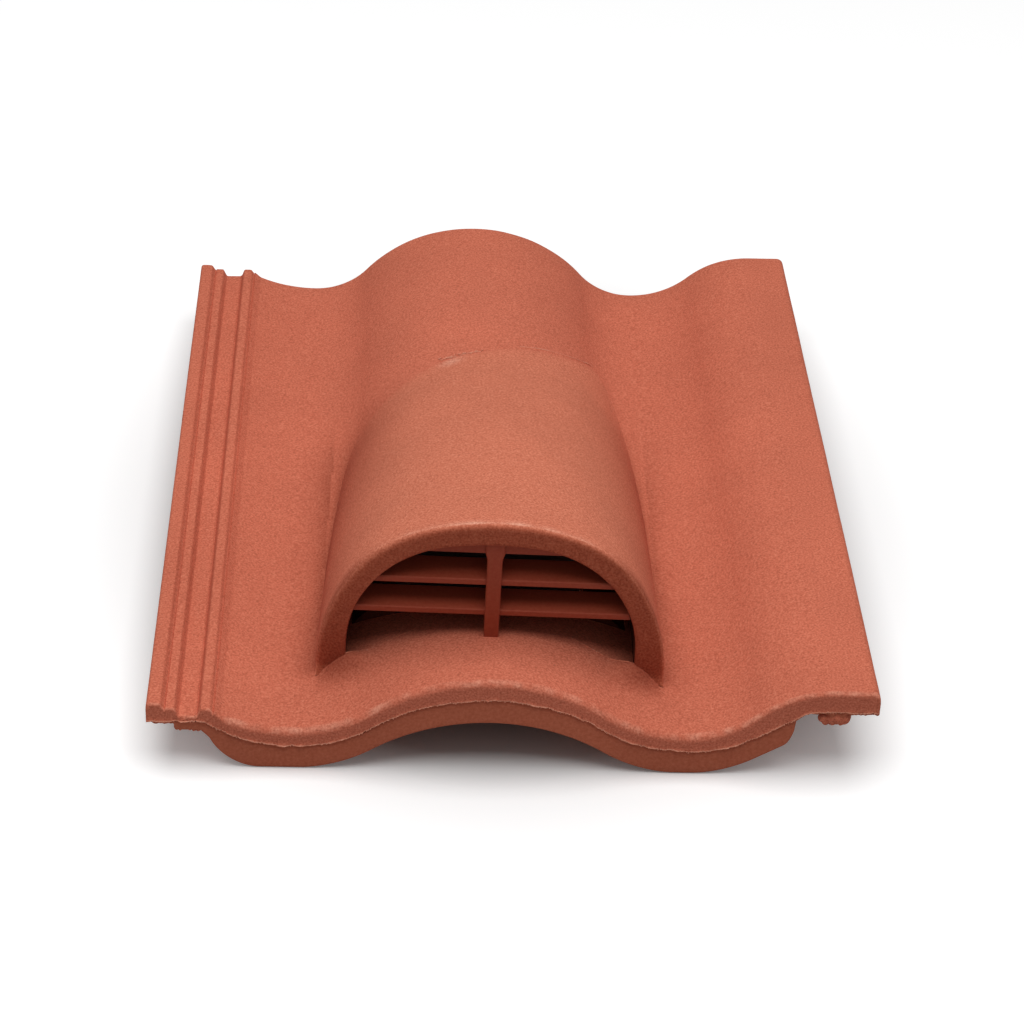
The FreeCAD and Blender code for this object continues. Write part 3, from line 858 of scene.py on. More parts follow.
    def flash_line(self, x: np.ndarray) -> np.ndarray:
        """Heights on the nose where the two halves of the mould met.

        Args:
            x: Places across the tile.

        Returns:
            Heights of the ragged line.
        """
        lock, cover, free = x < self.left_pan, x > self.right_pan, 1e3
        lock_side = drop(self.band_lock_radius, np.maximum(self.left_pan - x, 0.0)) - self.bearing_flat
        line = np.where(cover, self.nose_cover(x), self.bottom(x, Zone.NOSE))
        line = np.where(lock, lock_side, line)
        lip = np.where(lock, self.lock_lip_floor, np.where(cover, self.cover_ceiling, free))
        line = np.minimum(line + self.nose_band, lip + 0.6)
        return line + 0.5 * ragged(x, 17, 4.2) + 0.5 * ragged(x, 3.1, 9.4) + 0.3 * ragged(x, 1.1, 6.1)

    def skirt(self, x: np.ndarray) -> np.ndarray:
        """Lowest heights of the ragged flash that hangs under the lips at the nose; high elsewhere.

        Args:
            x: Places across the tile.

        Returns:
            Heights above the resting plane.
        """
        hang = 1.4 + 0.9 * ragged(x, 4.0, 3.3) + 0.6 * ragged(x, 1.5, 7.7)
        lip = (x < self.lock_inner + 2 * self.lock_slope) | (x > self.cover_wall)
        return np.where(lip, self.flash_line(x) - np.maximum(hang, 0.4), 1e3)

    def paint_inside_shade(self, grid: Grid, points: np.ndarray) -> None:
        """Give the faces of the upper side that lie inside the hood a painted shade, a flat dark brown where
        the hood shades them.

        Args:
            grid: The mesh, in which these faces come first.
            points: Points of the upper side.
        """
        centres = (points[:-1, :-1] + points[1:, 1:]) / 2
        front, back = self.sill - 0.35, self.sill + self.throat_length + self.shade_behind
        inside = np.abs(centres[..., 0] - self.middle - self.hood_offset) < self.shade_share * self.spacing
        inside &= (centres[..., 1] > front) & (centres[..., 1] < back)
        for number in np.nonzero(inside.ravel())[0]:
            grid.marks[number] = TileFace.INSIDE

    def build_nose(self, grid: Grid, x: np.ndarray, low_numbers: np.ndarray, low: np.ndarray,
                   high_numbers: np.ndarray, high: np.ndarray) -> None:
        """Face the front of the nose, with the ragged flash between its two bands.

        Args:
            grid: The mesh that the face is added to.
            x: Places across the tile.
            low_numbers: Numbers of the points along the nose's lower edge.
            low: Those points.
            high_numbers: Numbers of the points along the nose's upper edge.
            high: Those points.
        """
        line = np.clip(self.flash_line(x), low[:, 2] + 0.6, high[:, 2] - 0.8)
        ridge = 0.35 + 0.7 * np.maximum(ragged(x, 3.4, 5.5), -0.4) + 0.5 * ragged(x, 1.2, 2.2)
        rows, marks = [low], []
        for share in (0.2, 0.45, 0.7, 0.88, 0.97):
            z = low[:, 2] + share * (line - 0.5 - low[:, 2])
            pitted = 0.12 * ragged(x, 3.0, 40.0 + share * 20) + 0.6 * (share > 0.9)
            rows.append(np.stack([x, self.nose + self.nose_setback + pitted, z], axis=-1))
            marks.append(TileFace.STRUCK)
        for step, out in ((-0.4, 0.1), (0.0, 1.0), (0.4, 0.5)):
            y = self.nose + self.nose_setback * (step < 0) - ridge * out
            rows.append(np.stack([x, y, line + step], axis=-1))
            marks.append(TileFace.FLASH)
        for share in (0.12, 0.3, 0.5, 0.7, 0.88):
            z = line + 0.45 + share * (high[:, 2] - line - 0.45)
            grainy = 0.24 * ragged(x, 2.1, 12.0 + share * 30) + 0.12 * ragged(x, 1.0, 60.0 + share * 30)
            rows.append(np.stack([x, self.nose + grainy, z], axis=-1))
            marks.append(TileFace.SANDED)
        marks.append(TileFace.SANDED)
        numbers = np.concatenate([low_numbers[None], grid.add(np.stack(rows[1:])), high_numbers[None]])
        grid.skin(numbers, marks=marks)
        grid.polygon(numbers[:, 0])
        grid.polygon(numbers[::-1, -1])

    def cut_throat(self, piece: bpy.types.Object) -> None:
        """Cut the air throat through the roll, behind the sill.

        Args:
            piece: The tile.
        """
        half, corner = self.throat_width / 2, self.throat_corner
        middle, back = self.middle + self.hood_offset, self.sill + self.throat_length
        front, below, above = self.sill - 0.3, -5.0, 90.0
        outline = [(middle - half, front), (middle + half, front)]
        for side, start in ((1, 0.0), (-1, math.pi / 2)):
            for angle in np.linspace(start, start + math.pi / 2, 8):
                outline.append((middle + side * (half - corner) + corner * math.cos(angle),
                                back - corner + corner * math.sin(angle)))
        count = len(outline)
        points = [(px, py, z) for z in (below, above) for px, py in outline]
        faces = [tuple(range(count))[::-1], tuple(range(count, 2 * count))]
        faces += [(i, (i + 1) % count, count + (i + 1) % count, count + i) for i in range(count)]
        cutter = mesh_object("throat_cutter", np.array(points), faces, [])
        modifier = piece.modifiers.new("throat", "BOOLEAN")
        modifier.operation, modifier.solver, modifier.object = "DIFFERENCE", "EXACT", cutter
        apply_modifiers(piece)
        bpy.data.objects.remove(cutter)

    def dress(self, piece: bpy.types.Object) -> None:
        """Put the tile in its CAD node's place.

        Args:
            piece: The built tile.
        """
        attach(piece, BODY)
        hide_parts("tile")


@dataclass
class Hood:
    """The half-round cowl on straight legs, tilted down to the roll and bedded on the tile."""

    tile: Tile
    foot_to_pan: float = 9.0
    wall: float = 13.0
    leg_wall: float = 14.0
    hollow_leg: float = 12.0
    hollow_crown: float = 136.0
    pitch: float = 11.6
    turn: float = 1.35
    from_head: float = 141.0
    past_tail: float = 40.0
    mouth_from_nose: float = 40.0
    mouth_lean: float = 2.0
    rim_round: float = 3.8
    rim_right: float = 2.2
    rim_foot: float = 0.9
    crown_sink: float = 1.8
    crown_spread: float = 0.35
    shoulder_swell: float = 2.0
    shoulder_at: float = 0.75
    shoulder_spread: float = 0.32
    rim_fade: float = 60.0
    toe: float = 3.0
    toe_length: float = 5.0
    inner_round: float = 0.9
    bedding: float = 0.5
    unevenness: float = 0.3
    fillet: float = 3.2
    # Dust and painted shade in the creases along the flanks, weaker on the right, and painted shade before
    # the feet and low on the ring's face.
    dust_and_shade_strength: float = 0.9
    painted_shade_width: float = 8.0
    painted_shade_length: float = 230.0
    painted_shade_right: float = 0.7
    foot_painted_shade: tuple[float, float] = (13.0, 8.0)
    smear_at: float = -26.0
    smear_half: float = 5.0
    foot_mortar: float = 6.0
    mortar_spread: tuple[float, float] = (9.0, 6.0)
    feather: float = 9.0
    face_painted_shade: float = 16.0
    leg_points: int = 9
    arch_points: int = 121
    rim_rows: int = 8

    def __post_init__(self) -> None:
        """Work out the hood's place on the tile and the arcs of its hollow."""
        self.middle = self.tile.middle + self.tile.hood_offset
        self.radius = self.tile.spacing - self.foot_to_pan
        self.rise = math.tan(math.radians(self.pitch))
        self.stretch = 1 / math.cos(math.radians(self.pitch))
        self.tail = self.tile.head - self.from_head
        self.crest = self.tile.pan_height + self.tile.roll_rise
        self.mouth = self.tile.nose + self.mouth_from_nose
        self.lean = math.tan(math.radians(self.mouth_lean))
        self.half = self.radius - self.leg_wall
        rise = self.radius - self.wall - self.hollow_leg
        spread = rise ** 2 + self.half ** 2
        self.shoulder = (2 * self.hollow_crown * rise - spread) / (2 * (self.hollow_crown - self.half))
        self.crown_middle = self.radius - self.wall - self.hollow_crown
        share = self.hollow_crown / (self.hollow_crown - self.shoulder)
        self.arcs_meet = self.crown_middle + (self.hollow_leg - self.crown_middle) * share
        self.angles = np.linspace(-math.pi / 2, math.pi / 2, self.arch_points)
        self.sine, self.cosine = math.sin(math.radians(self.turn)), math.cos(math.radians(self.turn))

    def turned(self, points: np.ndarray) -> np.ndarray:
        """Points turned about the middle of the mouth, as the hood was bedded on the roll.

        Args:
            points: Points in millimetres, with two or three coordinates.

        Returns:
            The turned points.
        """
        across, along = points[..., 0] - self.middle, points[..., 1] - self.mouth
        moved = points.copy()
        moved[..., 0] = self.middle + self.cosine * across + self.sine * along
        moved[..., 1] = self.mouth - self.sine * across + self.cosine * along
        return moved

    def from_mouth(self, x: np.ndarray, y: np.ndarray) -> tuple[np.ndarray, np.ndarray]:
        """Places on the tile, as they lie to the turned hood.

        Args:
            x: Places across the tile.
            y: Places along it.

        Returns:
            Distances to the right of the hood's middle, and behind its mouth.
        """
        across, along = x - self.middle, y - self.mouth
        return self.cosine * across - self.sine * along, self.sine * across + self.cosine * along

    def outer_height(self, x: np.ndarray, y: np.ndarray) -> np.ndarray:
        """Height of the hood's outer face over places on the tile.

        Args:
            x: Places across the tile.
            y: Places along it.

        Returns:
            Heights above the resting plane, far below the tile beside the hood.
        """
        side, behind = self.from_mouth(x, y)
        fall = (self.radius - np.sqrt(np.maximum(self.radius ** 2 - side ** 2, 0.0))) * self.stretch
        height = self.crest_height(self.mouth + behind) - fall
        return np.where((np.abs(side) < self.radius) & (behind > 0), height, -100.0)

    def swell(self, lower: np.ndarray, upper: np.ndarray) -> np.ndarray:
        """How much mortar rounds off the corner between two faces at given heights."""
        near = np.maximum(self.fillet - np.abs(upper - lower), 0.0)
        return near ** 2 / (4 * self.fillet)

    def mortar(self, x: np.ndarray, y: np.ndarray, height: np.ndarray) -> np.ndarray:
        """Height of the bedding mortar on the tile: along the seam and pressed in at the inner feet.

        Args:
            x: Places across the tile.
            y: Places along it.
            height: Height of the tile there.

        Returns:
            Heights to add to the tile.
        """
        extra = self.swell(height, self.outer_height(x, y))
        wide, long = self.mortar_spread
        for side in (-1, 1):
            foot = self.turned(np.array([self.middle + side * self.half, self.mouth]))
            away = np.square((x - foot[0]) / wide) + np.square((y - foot[1]) / long)
            extra = extra + self.foot_mortar * np.exp(-away)
        return extra

    def crease_dust_and_shade(self, x: np.ndarray, y: np.ndarray) -> np.ndarray:
        """How dark the creases along the hood's flanks and the sill before its feet are made: some dust, and
        painted shade where the hood shades the tile.

        Args:
            x: Places across the tile.
            y: Places along it.

        Returns:
            A share from none to full for each place.
        """
        side, behind = self.from_mouth(x, y)
        # The painted shade is weaker on the hood's right side.
        strength = self.dust_and_shade_strength * np.where(side > 0, self.painted_shade_right, 1.0)
        side = np.abs(side)
        rise = np.where(side < self.radius, np.abs(self.tile.top(x, y) - self.outer_height(x, y)), 0.0)
        away = np.maximum(side - self.radius, 0.5 * rise)
        flank = np.clip((side / self.radius - 0.5) / 0.3, 0.0, 1.0)
        length = np.clip((behind + 4.0) / 6.0, 0.0, 1.0)
        length = length * np.clip((self.painted_shade_length - behind) / 60.0, 0.0, 1.0)
        # Painted shade on the sill before each foot, where the leg shades it.
        wide, long = self.foot_painted_shade
        feet = np.exp(-np.square((side - self.half - 3.0) / wide) - np.square((behind + self.toe) / long))
        feet *= np.clip((self.radius + 1.0 - side) / 4.0, 0.0, 1.0)
        return np.maximum(strength * np.exp(-away / self.painted_shade_width) * flank * length, feet)

    def rim_radius(self) -> np.ndarray:
        """Radius of the mouth's outer edge along the outline: tighter on the right and at the feet.

        Returns:
            A radius for each point of the outline.
        """
        share = np.clip((self.angles - 0.15) / 0.6, 0.0, 1.0)
        arch = self.rim_round + (self.rim_right - self.rim_round) * ease(share)
        down = np.linspace(1, 0, self.leg_points, endpoint=False)
        left = arch[0] + (self.rim_foot - arch[0]) * down
        right = arch[-1] + (self.rim_foot - arch[-1]) * down[::-1]
        return np.concatenate([left, arch, right])

    def seat_height(self, x: np.ndarray, y: np.ndarray) -> np.ndarray:
        """Height at which the hood's underside lies in the bedding, for places before the turn."""
        places = self.turned(np.stack([x, y], axis=-1))
        return self.tile.top(places[..., 0], places[..., 1]) - self.bedding

    def crest_height(self, y: np.ndarray | float) -> np.ndarray | float:
        """Height of the crest line along the hood."""
        return self.crest + (self.tail - y) * self.rise

    def mouth_y(self, fall: np.ndarray) -> np.ndarray:
        """Where lines that run a given fall below the crest meet the leaning plane of the mouth."""
        base = self.crest + self.tail * self.rise - fall - self.tile.pan_height
        return (self.mouth - base * self.lean) / (1 - self.rise * self.lean)

    def hollow_reach(self) -> np.ndarray:
        """Distance from the middle of the springing to the hollow's face, for each angle of the arch.

        Returns:
            The distances in millimetres.
        """
        up, out = np.cos(self.angles), np.abs(np.sin(self.angles))
        crown = self.crown_middle * up + np.sqrt(self.hollow_crown ** 2 - (self.crown_middle * out) ** 2)
        run = self.half - self.shoulder
        along = run * out + self.hollow_leg * up
        shoulder = along + np.sqrt(along ** 2 - run ** 2 - self.hollow_leg ** 2 + self.shoulder ** 2)
        leg = self.half / np.maximum(out, 0.1)
        lower = np.where(shoulder * up > self.hollow_leg, shoulder, leg)
        return np.where(crown * up > self.arcs_meet, crown, lower)

    def hollow_half(self, height: float) -> float:
        """Half the width of the hollow at a height above its springing.

        Args:
            height: The height in millimetres.

        Returns:
            Half the width there.
        """
        if height > self.arcs_meet:
            return math.sqrt(max(self.hollow_crown ** 2 - (height - self.crown_middle) ** 2, 0.01))
        rise = max(height - self.hollow_leg, 0.0)
        return self.half - self.shoulder + math.sqrt(self.shoulder ** 2 - rise ** 2)

    def outline(self, inset: np.ndarray | float,
                squared: np.ndarray | float = 0.0) -> tuple[np.ndarray, np.ndarray]:
        """A line round the wall of the hood, from the left foot over the crown to the right foot.

        Args:
            inset: Distance inside the outer face, of the whole line or of each point, stopped at the hollow.
            squared: How far the outer face is drawn from a half round to the hollow's flatter curve.

        Returns:
            Places across, and how far each point lies below the crest line.
        """
        count = self.leg_points
        inset = np.broadcast_to(np.asarray(inset, dtype=float), self.arch_points + 2 * count)
        squared = np.broadcast_to(np.asarray(squared, dtype=float), inset.shape)[count:-count]
        gap = self.radius - self.hollow_reach()
        depth = np.minimum(inset[count:-count], gap)
        side = np.abs(self.angles)
        shift = self.shoulder_swell * np.exp(-np.square((side - self.shoulder_at) / self.shoulder_spread))
        shift = shift - self.crown_sink * np.exp(-np.square(side / self.crown_spread))
        reach = self.radius - depth + squared * shift * (1 - depth / gap)
        fall = (self.radius - reach * np.cos(self.angles)) * self.stretch
        spring = self.radius * self.stretch
        share = np.linspace(1, 0, count, endpoint=False)
        sides = []
        for side, part in ((-1, inset[:count]), (1, inset[::-1][:count])):
            x = self.middle + side * (self.radius - np.minimum(part, self.leg_wall))
            foot = self.crest_height(self.mouth) - self.seat_height(x, np.full_like(x, self.mouth))
            sides.append((x, spring + share * np.maximum(foot - spring, 0.5)))
        (left, left_fall), (right, right_fall) = sides
        x = np.concatenate([left, self.middle + reach * np.sin(self.angles), right[::-1]])
        return x, np.concatenate([left_fall, fall, right_fall[::-1]])

    def seat(self, x: np.ndarray, fall: np.ndarray) -> np.ndarray:
        """Where lines along the hood run out on the tile.

        Args:
            x: Places of the lines across the tile.
            fall: How far each runs below the crest line.

        Returns:
            The place along the tile where each one meets its upper face.
        """
        ends = np.empty_like(x)
        reach = np.linspace(0, 1, 500)
        for number, (place, below, start) in enumerate(zip(x, fall, self.mouth_y(fall))):
            y = start + reach * (self.tail + self.past_tail - start)
            clear = self.crest_height(y) - below - self.seat_height(np.full_like(y, place), y)
            under = np.nonzero(clear < 0)[0]
            last = under[0] - 1 if len(under) else len(y) - 2
            if last < 0:
                ends[number] = start
            else:
                step = y[last + 1] - y[last]
                ends[number] = y[last] + step * clear[last] / (clear[last] - clear[last + 1])
        return ends

    def row(self, inset: np.ndarray | float, behind: np.ndarray | float) -> np.ndarray:
        """Points of one line round the hood, before its turn.

        Args:
            inset: Distance inside the outer face, of the whole line or of each point.
            behind: Distance behind the mouth for each point.

        Returns:
            The points in millimetres.
        """
        behind = np.asarray(behind, dtype=float)
        x, fall = self.outline(inset, np.exp(-np.square(behind / self.rim_fade)))
        toe = np.zeros_like(x)
        down = np.linspace(1, 0, self.leg_points, endpoint=False)
        toe[:self.leg_points] = toe[::-1][:self.leg_points] = self.toe * down ** 2
        y = self.mouth_y(fall) + behind - toe * np.exp(-behind / self.toe_length)
        return np.stack([x, y, self.crest_height(y) - fall], axis=-1)

    def build(self) -> bpy.types.Object:
        """Build the hood as one closed mesh.

        Returns:
            The hood.
        """
        lengths = []
        for inset in (0.0, self.wall + self.leg_wall):
            x, fall = self.outline(inset)
            lengths.append(np.maximum(self.seat(x, fall) - self.mouth_y(fall), 0.0))
        outer, inner = lengths
        radius = self.rim_radius()
        rim, lip = np.minimum(outer, radius), np.minimum(inner, self.inner_round)
        skin = [self.row(0.0, rim + (outer - rim) * share) for share in np.linspace(1, 0, 64)]
        for angle in np.radians(np.linspace(12, 90, self.rim_rows)):
            behind = np.minimum(outer, radius * (1 - math.sin(angle)))
            skin.append(self.row(radius * (1 - math.cos(angle)), behind))
        inside = self.wall + self.leg_wall
        face, edge = self.row(radius, 0.0), self.row(inside, 0.0)
        broken = self.inner_round / self.wall
        ring = [face + (edge - face) * share for share in np.linspace(0.15, 1 - broken, 6)]
        ring.append(self.row(inside, lip))
        hollow = [self.row(inside, lip + (inner - lip) * share) for share in np.linspace(0.04, 1, 24)]
        points = self.turned(self.uneven(np.stack(skin + ring + hollow)))
        points[:len(skin), :, 2] += self.swell(points[:len(skin), :, 2], self.tile.top(
            points[:len(skin), :, 0], points[:len(skin), :, 1]))
        grid = Grid()
        numbers = grid.add(points)
        # The hollow and the undersides of the legs take the painted inside shade.
        marks = [HoodFace.HOOD] * (len(skin) + len(ring) - 1) + [HoodFace.INSIDE] * (len(hollow) + 1)
        grid.skin(np.concatenate([numbers, numbers[:1]]), flip=True, marks=marks)
        grid.polygon(numbers[::-1, 0], HoodFace.INSIDE)
        grid.polygon(numbers[:, -1], HoodFace.INSIDE)
        piece = grid.piece("bedded_hood", [Finish[face.name].material() for face in HoodFace])
        self.weather(piece, points, len(skin), outer)
        weld(piece, distance_mm=0.03)
        sharpen(piece, degrees=55)
        return piece

    def weather(self, piece: bpy.types.Object, points: np.ndarray, rows: int, outer: np.ndarray) -> None:
        """Mark the hood's painted highlight on the rim's crown and cement smear on the seam, its painted
        shade on the mouth's ring, where it is feathered out, and its dust and painted shade.

        Args:
            piece: The hood, before its points are welded.
            points: Its points, row by row from the seam.
            rows: How many of the rows lie on the outer face, the last of them on the rim.
            outer: Length of the outer face along each line.
        """
        plain = rows - self.rim_rows
        side = np.abs(np.linspace(-1, 1, points.shape[1]))
        # Painted shade on the mouth's forward-facing ring, from part way round the rim's rounding on.
        ring_face_shade = np.ones(points.shape[:2])
        ring_face_shade[:plain] = 0.0
        ring_face_shade[plain:rows] = np.clip(np.linspace(-0.3, 1.6, self.rim_rows), 0.0, 1.0)[:, None]
        feathered = np.zeros(points.shape[:2])
        flank = np.clip((side - 0.35) / 0.35, 0.0, 1.0)
        run_out = 1 - np.linspace(0, 1, plain)[:, None] * outer / self.feather
        feathered[:plain] = np.maximum(run_out, 0.8 * ease(flank))
        # A painted highlight along the crown of the rim's outer edge, and a pale smear of cement on the
        # seam.
        wear_and_highlight = np.zeros(points.shape[:2])
        crown = np.clip(1.5 - side / 0.28, 0.0, 1.0)
        highlight_and_rub = crown * (0.7 + ragged(np.arange(points.shape[1]), 4.0, 5.3))
        wear_and_highlight[plain - 1:plain + 2] = np.clip(np.outer((0.3, 0.7, 0.5), highlight_and_rub), 0.0, 1.0)
        smear = np.exp(-np.square((points[1:4, :, 0] - self.smear_at) / self.smear_half))
        wear_and_highlight[1:4] = smear * np.array([[0.3], [0.65], [0.2]])
        # Dust and painted shade in the creases; on the ring's face only near its feet, fading upward.
        above = np.maximum(points[..., 2] - self.tile.top(points[..., 0], points[..., 1]), 0.0)
        dust_and_shade = self.crease_dust_and_shade(points[..., 0], points[..., 1])
        dust_and_shade = dust_and_shade * np.where(ring_face_shade > 0.5, np.exp(-above / self.face_painted_shade), 1 - ring_face_shade)
        mark_points(piece, "wear_and_highlight", wear_and_highlight)
        mark_points(piece, "ring_face_shade", ring_face_shade)
        mark_points(piece, "feathered", feathered)
        mark_points(piece, "dust_and_shade", dust_and_shade)

    def uneven(self, points: np.ndarray) -> np.ndarray:
        """Points moved a little by the unevenness of a cast face.

        Args:
            points: Points in millimetres.

        Returns:
            The points, moved in or out from the hood's axis.
        """
        shift = np.array([noise.noise(Vector(p) / 34 + Vector((7, 1, 2))) + 0.5 * noise.noise(Vector(p) / 9)
                          for p in points.reshape(-1, 3)]).reshape(points.shape[:-1])
        out = points - np.array([self.middle, 0, self.crest - self.radius])
        out[..., 1] = 0
        out /= np.maximum(np.linalg.norm(out, axis=-1, keepdims=True), 1.0)
        return points + out * (self.unevenness * shift)[..., None]

    def seam(self) -> np.ndarray:
        """Points where the outer face meets the tile, from foot to foot over the roll.

        Returns:
            The points in millimetres, on the bedded tile.
        """
        x, fall = self.outline(0.0)
        y = self.seat(x, fall)
        places = self.turned(np.stack([x, y], axis=-1))
        return np.column_stack([places, self.tile.bedded_top(places[:, 0], places[:, 1])])

    def sill_line(self, shares: Sequence[float], behind: Sequence[float]) -> np.ndarray:
        """Points of a line on the sill in the mouth.

        Args:
            shares: Places across, as shares of the hollow's half width.
            behind: Distances behind the mouth.

        Returns:
            The points in millimetres, on the bedded tile.
        """
        flat = np.array([[self.middle + share * self.half, self.mouth + back]
                         for share, back in zip(shares, behind)])
        places = self.turned(flat)
        heights = self.tile.bedded_top(places[:, 0], places[:, 1])
        return np.column_stack([places, heights])

    def dress(self, piece: bpy.types.Object) -> None:
        """Put the hood in its CAD node's place.

        Args:
            piece: The built hood.
        """
        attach(piece, BODY)
        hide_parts("hood")


@dataclass
class Louvre:
    """The moulded insert in the hood's mouth: centre bar, two sloped blades and a top rail."""

    hood: Hood
    setback: float = 2.5
    clearance: float = 0.3
    skew: float = 0.5
    bar_width: float = 6.8
    bar_depth: float = 7.0
    bar_flare: float = 1.0
    flare_length: float = 5.0
    bar_bed: float = 1.0
    bar_over: float = 6.0
    bar_proud: float = 1.4
    blade_height: float = 36.5
    blade_pitch: float = 16.8
    blade_count: int = 2
    blade_lip: float = 3.2
    blade_depth: float = 13.6
    blade_rise: float = 2.85
    blade_thickness: float = 2.2
    rail_height: float = 71.3
    rail_thickness: float = 3.0
    rail_reach: float = 0.985
    rail_over: float = 0.3
    edge: float = 0.45

    def place(self, across: float, depth: float, up: float) -> np.ndarray:
        """A point given in the mouth's plane, in the frame of the part but before the hood's turn.

        Args:
            across: Distance to the right of the hood's middle.
            depth: Distance behind the insert's front.
            up: Height up the mouth's plane from the pans.

        Returns:
            The point in millimetres.
        """
        lean, skew = math.radians(self.hood.mouth_lean), math.radians(self.skew)
        lifted = up - self.blade_height
        side = across * math.cos(skew) + lifted * math.sin(skew)
        high = self.blade_height - across * math.sin(skew) + lifted * math.cos(skew)
        y = self.hood.mouth + self.setback + depth * math.cos(lean) - high * math.sin(lean)
        z = self.hood.tile.pan_height + high * math.cos(lean) + depth * math.sin(lean)
        return np.array([self.hood.middle + side, y, z])

    def half_width(self, depth: float, up: float) -> float:
        """How far the mouth's inside reaches to each side at a depth and height.

        Args:
            depth: Distance behind the insert's front.
            up: Height up the mouth's plane.

        Returns:
            The distance from the middle, less the clearance.
        """
        point = self.place(0.0, depth, up)
        fall = (self.hood.crest_height(point[1]) - point[2]) / self.hood.stretch
        return self.hood.hollow_half(self.hood.radius - fall + self.clearance) - self.clearance

    def soften(self, section: Sequence[tuple[float, float]]) -> list[tuple[float, float]]:
        """Break each corner of a section by the moulding's small edge radius.

        Args:
            section: Corners of the section, in order.

        Returns:
            Two points for each corner.
        """
        loop = []
        for number, corner in enumerate(section):
            here = np.array(corner)
            for other in (section[number - 1], section[(number + 1) % len(section)]):
                way = np.array(other) - here
                loop.append(tuple(here + way / np.linalg.norm(way) * self.edge))
        return loop

    def close_loop(self, grid: Grid, columns: list[list[np.ndarray]]) -> None:
        """Skin a closed section carried through a row of places, with flat ends.

        Args:
            grid: The mesh to add to.
            columns: Points of the section at each place.
        """
        numbers = grid.add(self.hood.turned(np.array(columns)))
        grid.skin(np.concatenate([numbers, numbers[:, :1]], axis=1), flip=True)
        grid.polygon(numbers[0])
        grid.polygon(numbers[-1][::-1])

    def build_blade(self, grid: Grid, height: float) -> None:
        """Add one blade, cut at both ends to the curve of the mouth.

        Args:
            grid: The mesh to add to.
            height: Height of its lower edge up the mouth's plane.
        """
        thick, top = self.blade_thickness, height + self.blade_lip
        loop = self.soften([
            (0.0, height), (0.0, top), (self.blade_depth, top + self.blade_rise),
            (self.blade_depth, top + self.blade_rise - thick), (thick, top - thick), (thick, height)])
        self.close_loop(grid, [
            [self.place(share * self.half_width(depth, up), depth, up) for depth, up in loop]
            for share in np.linspace(-1, 1, 15)])

    def build_bar(self, grid: Grid) -> None:
        """Add the centre bar, from the sill up to the arch, wider where it meets the rail.

        Args:
            grid: The mesh to add to.
        """
        tile, hood = self.hood.tile, self.hood
        sill = tile.top(np.array([hood.middle]), hood.mouth + self.setback)
        foot = float(sill[0]) - tile.pan_height - self.bar_bed
        flare, top = self.rail_height - self.flare_length, self.rail_height + self.bar_over
        columns = []
        for up in [*np.linspace(foot, flare, 7), *np.linspace(flare + 1, top, 8)]:
            grow = min(max(up - flare, 0.0) / self.flare_length, 1.0)
            half = self.bar_width / 2 + self.bar_flare * grow ** 2
            section = [(-half, self.bar_depth), (half, self.bar_depth),
                       (half, -self.bar_proud), (-half, -self.bar_proud)]
            columns.append([self.place(across, depth, up) for across, depth in self.soften(section)])
        self.close_loop(grid, columns)

    def build_rail(self, grid: Grid) -> None:
        """Add the rail that closes the top of the mouth.

        Args:
            grid: The mesh to add to.
        """
        heights = np.arange(self.rail_height, self.rail_height + 8.0, 0.2)
        halves = np.array([self.half_width(0.0, height) for height in heights])
        columns = []
        for share in np.linspace(-self.rail_reach, self.rail_reach, 25):
            across = share * halves[0]
            roof = heights[np.nonzero(halves >= abs(across))[0][-1]] + self.rail_over
            section = [(0.0, self.rail_height), (0.0, roof), (self.rail_thickness, roof),
                       (self.rail_thickness, self.rail_height)]
            columns.append([self.place(across, depth, up) for depth, up in section])
        self.close_loop(grid, columns)

    def build(self) -> bpy.types.Object:
        """Build the insert.

        Returns:
            The insert as one object.
        """
        grid = Grid()
        for number in range(self.blade_count):
            self.build_blade(grid, self.blade_height + number * self.blade_pitch)
        self.build_bar(grid)
        self.build_rail(grid)
        piece = grid.piece("louvre_insert", [Finish.LOUVRE.material()])
        sharpen(piece, degrees=35)
        return piece

    def dress(self, piece: bpy.types.Object) -> None:
        """Put the insert in its CAD node's place.

        Args:
            piece: The built insert.
        """
        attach(piece, BODY)
        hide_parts("louvre_grille")


def path_tree(name: str, numbers: dict[str, str]) -> tuple[bpy.types.NodeTree, bpy.types.Node]:
    """Start a node tree that works along a path.

    Args:
        name: Name of the tree.
        numbers: Name and socket kind of each input besides the path.

    Returns:
        The tree and its input node.
    """
    tree = bpy.data.node_groups.new(name, "GeometryNodeTree")
    tree.interface.new_socket("Path", in_out="INPUT", socket_type="NodeSocketGeometry")
    for label, kind in numbers.items():
        tree.interface.new_socket(label, in_out="INPUT", socket_type=kind)
    tree.interface.new_socket("Geometry", in_out="OUTPUT", socket_type="NodeSocketGeometry")
    return tree, add_node(tree, "NodeGroupInput")


def close_tree(tree: bpy.types.NodeTree, given: bpy.types.Node, shape: bpy.types.NodeSocket) -> None:
    """End a node tree: make its instances real, give them the material and pass them out.

    Args:
        tree: The tree to end.
        given: Its input node.
        shape: The socket that gives the shape.
    """
    real = add_node(tree, "GeometryNodeRealizeInstances", {"Geometry": shape})
    dressed = add_node(tree, "GeometryNodeSetMaterial", {
        "Geometry": real.outputs[0], "Material": given.outputs["Material"]})
    add_node(tree, "NodeGroupOutput", {0: dressed.outputs[0]})


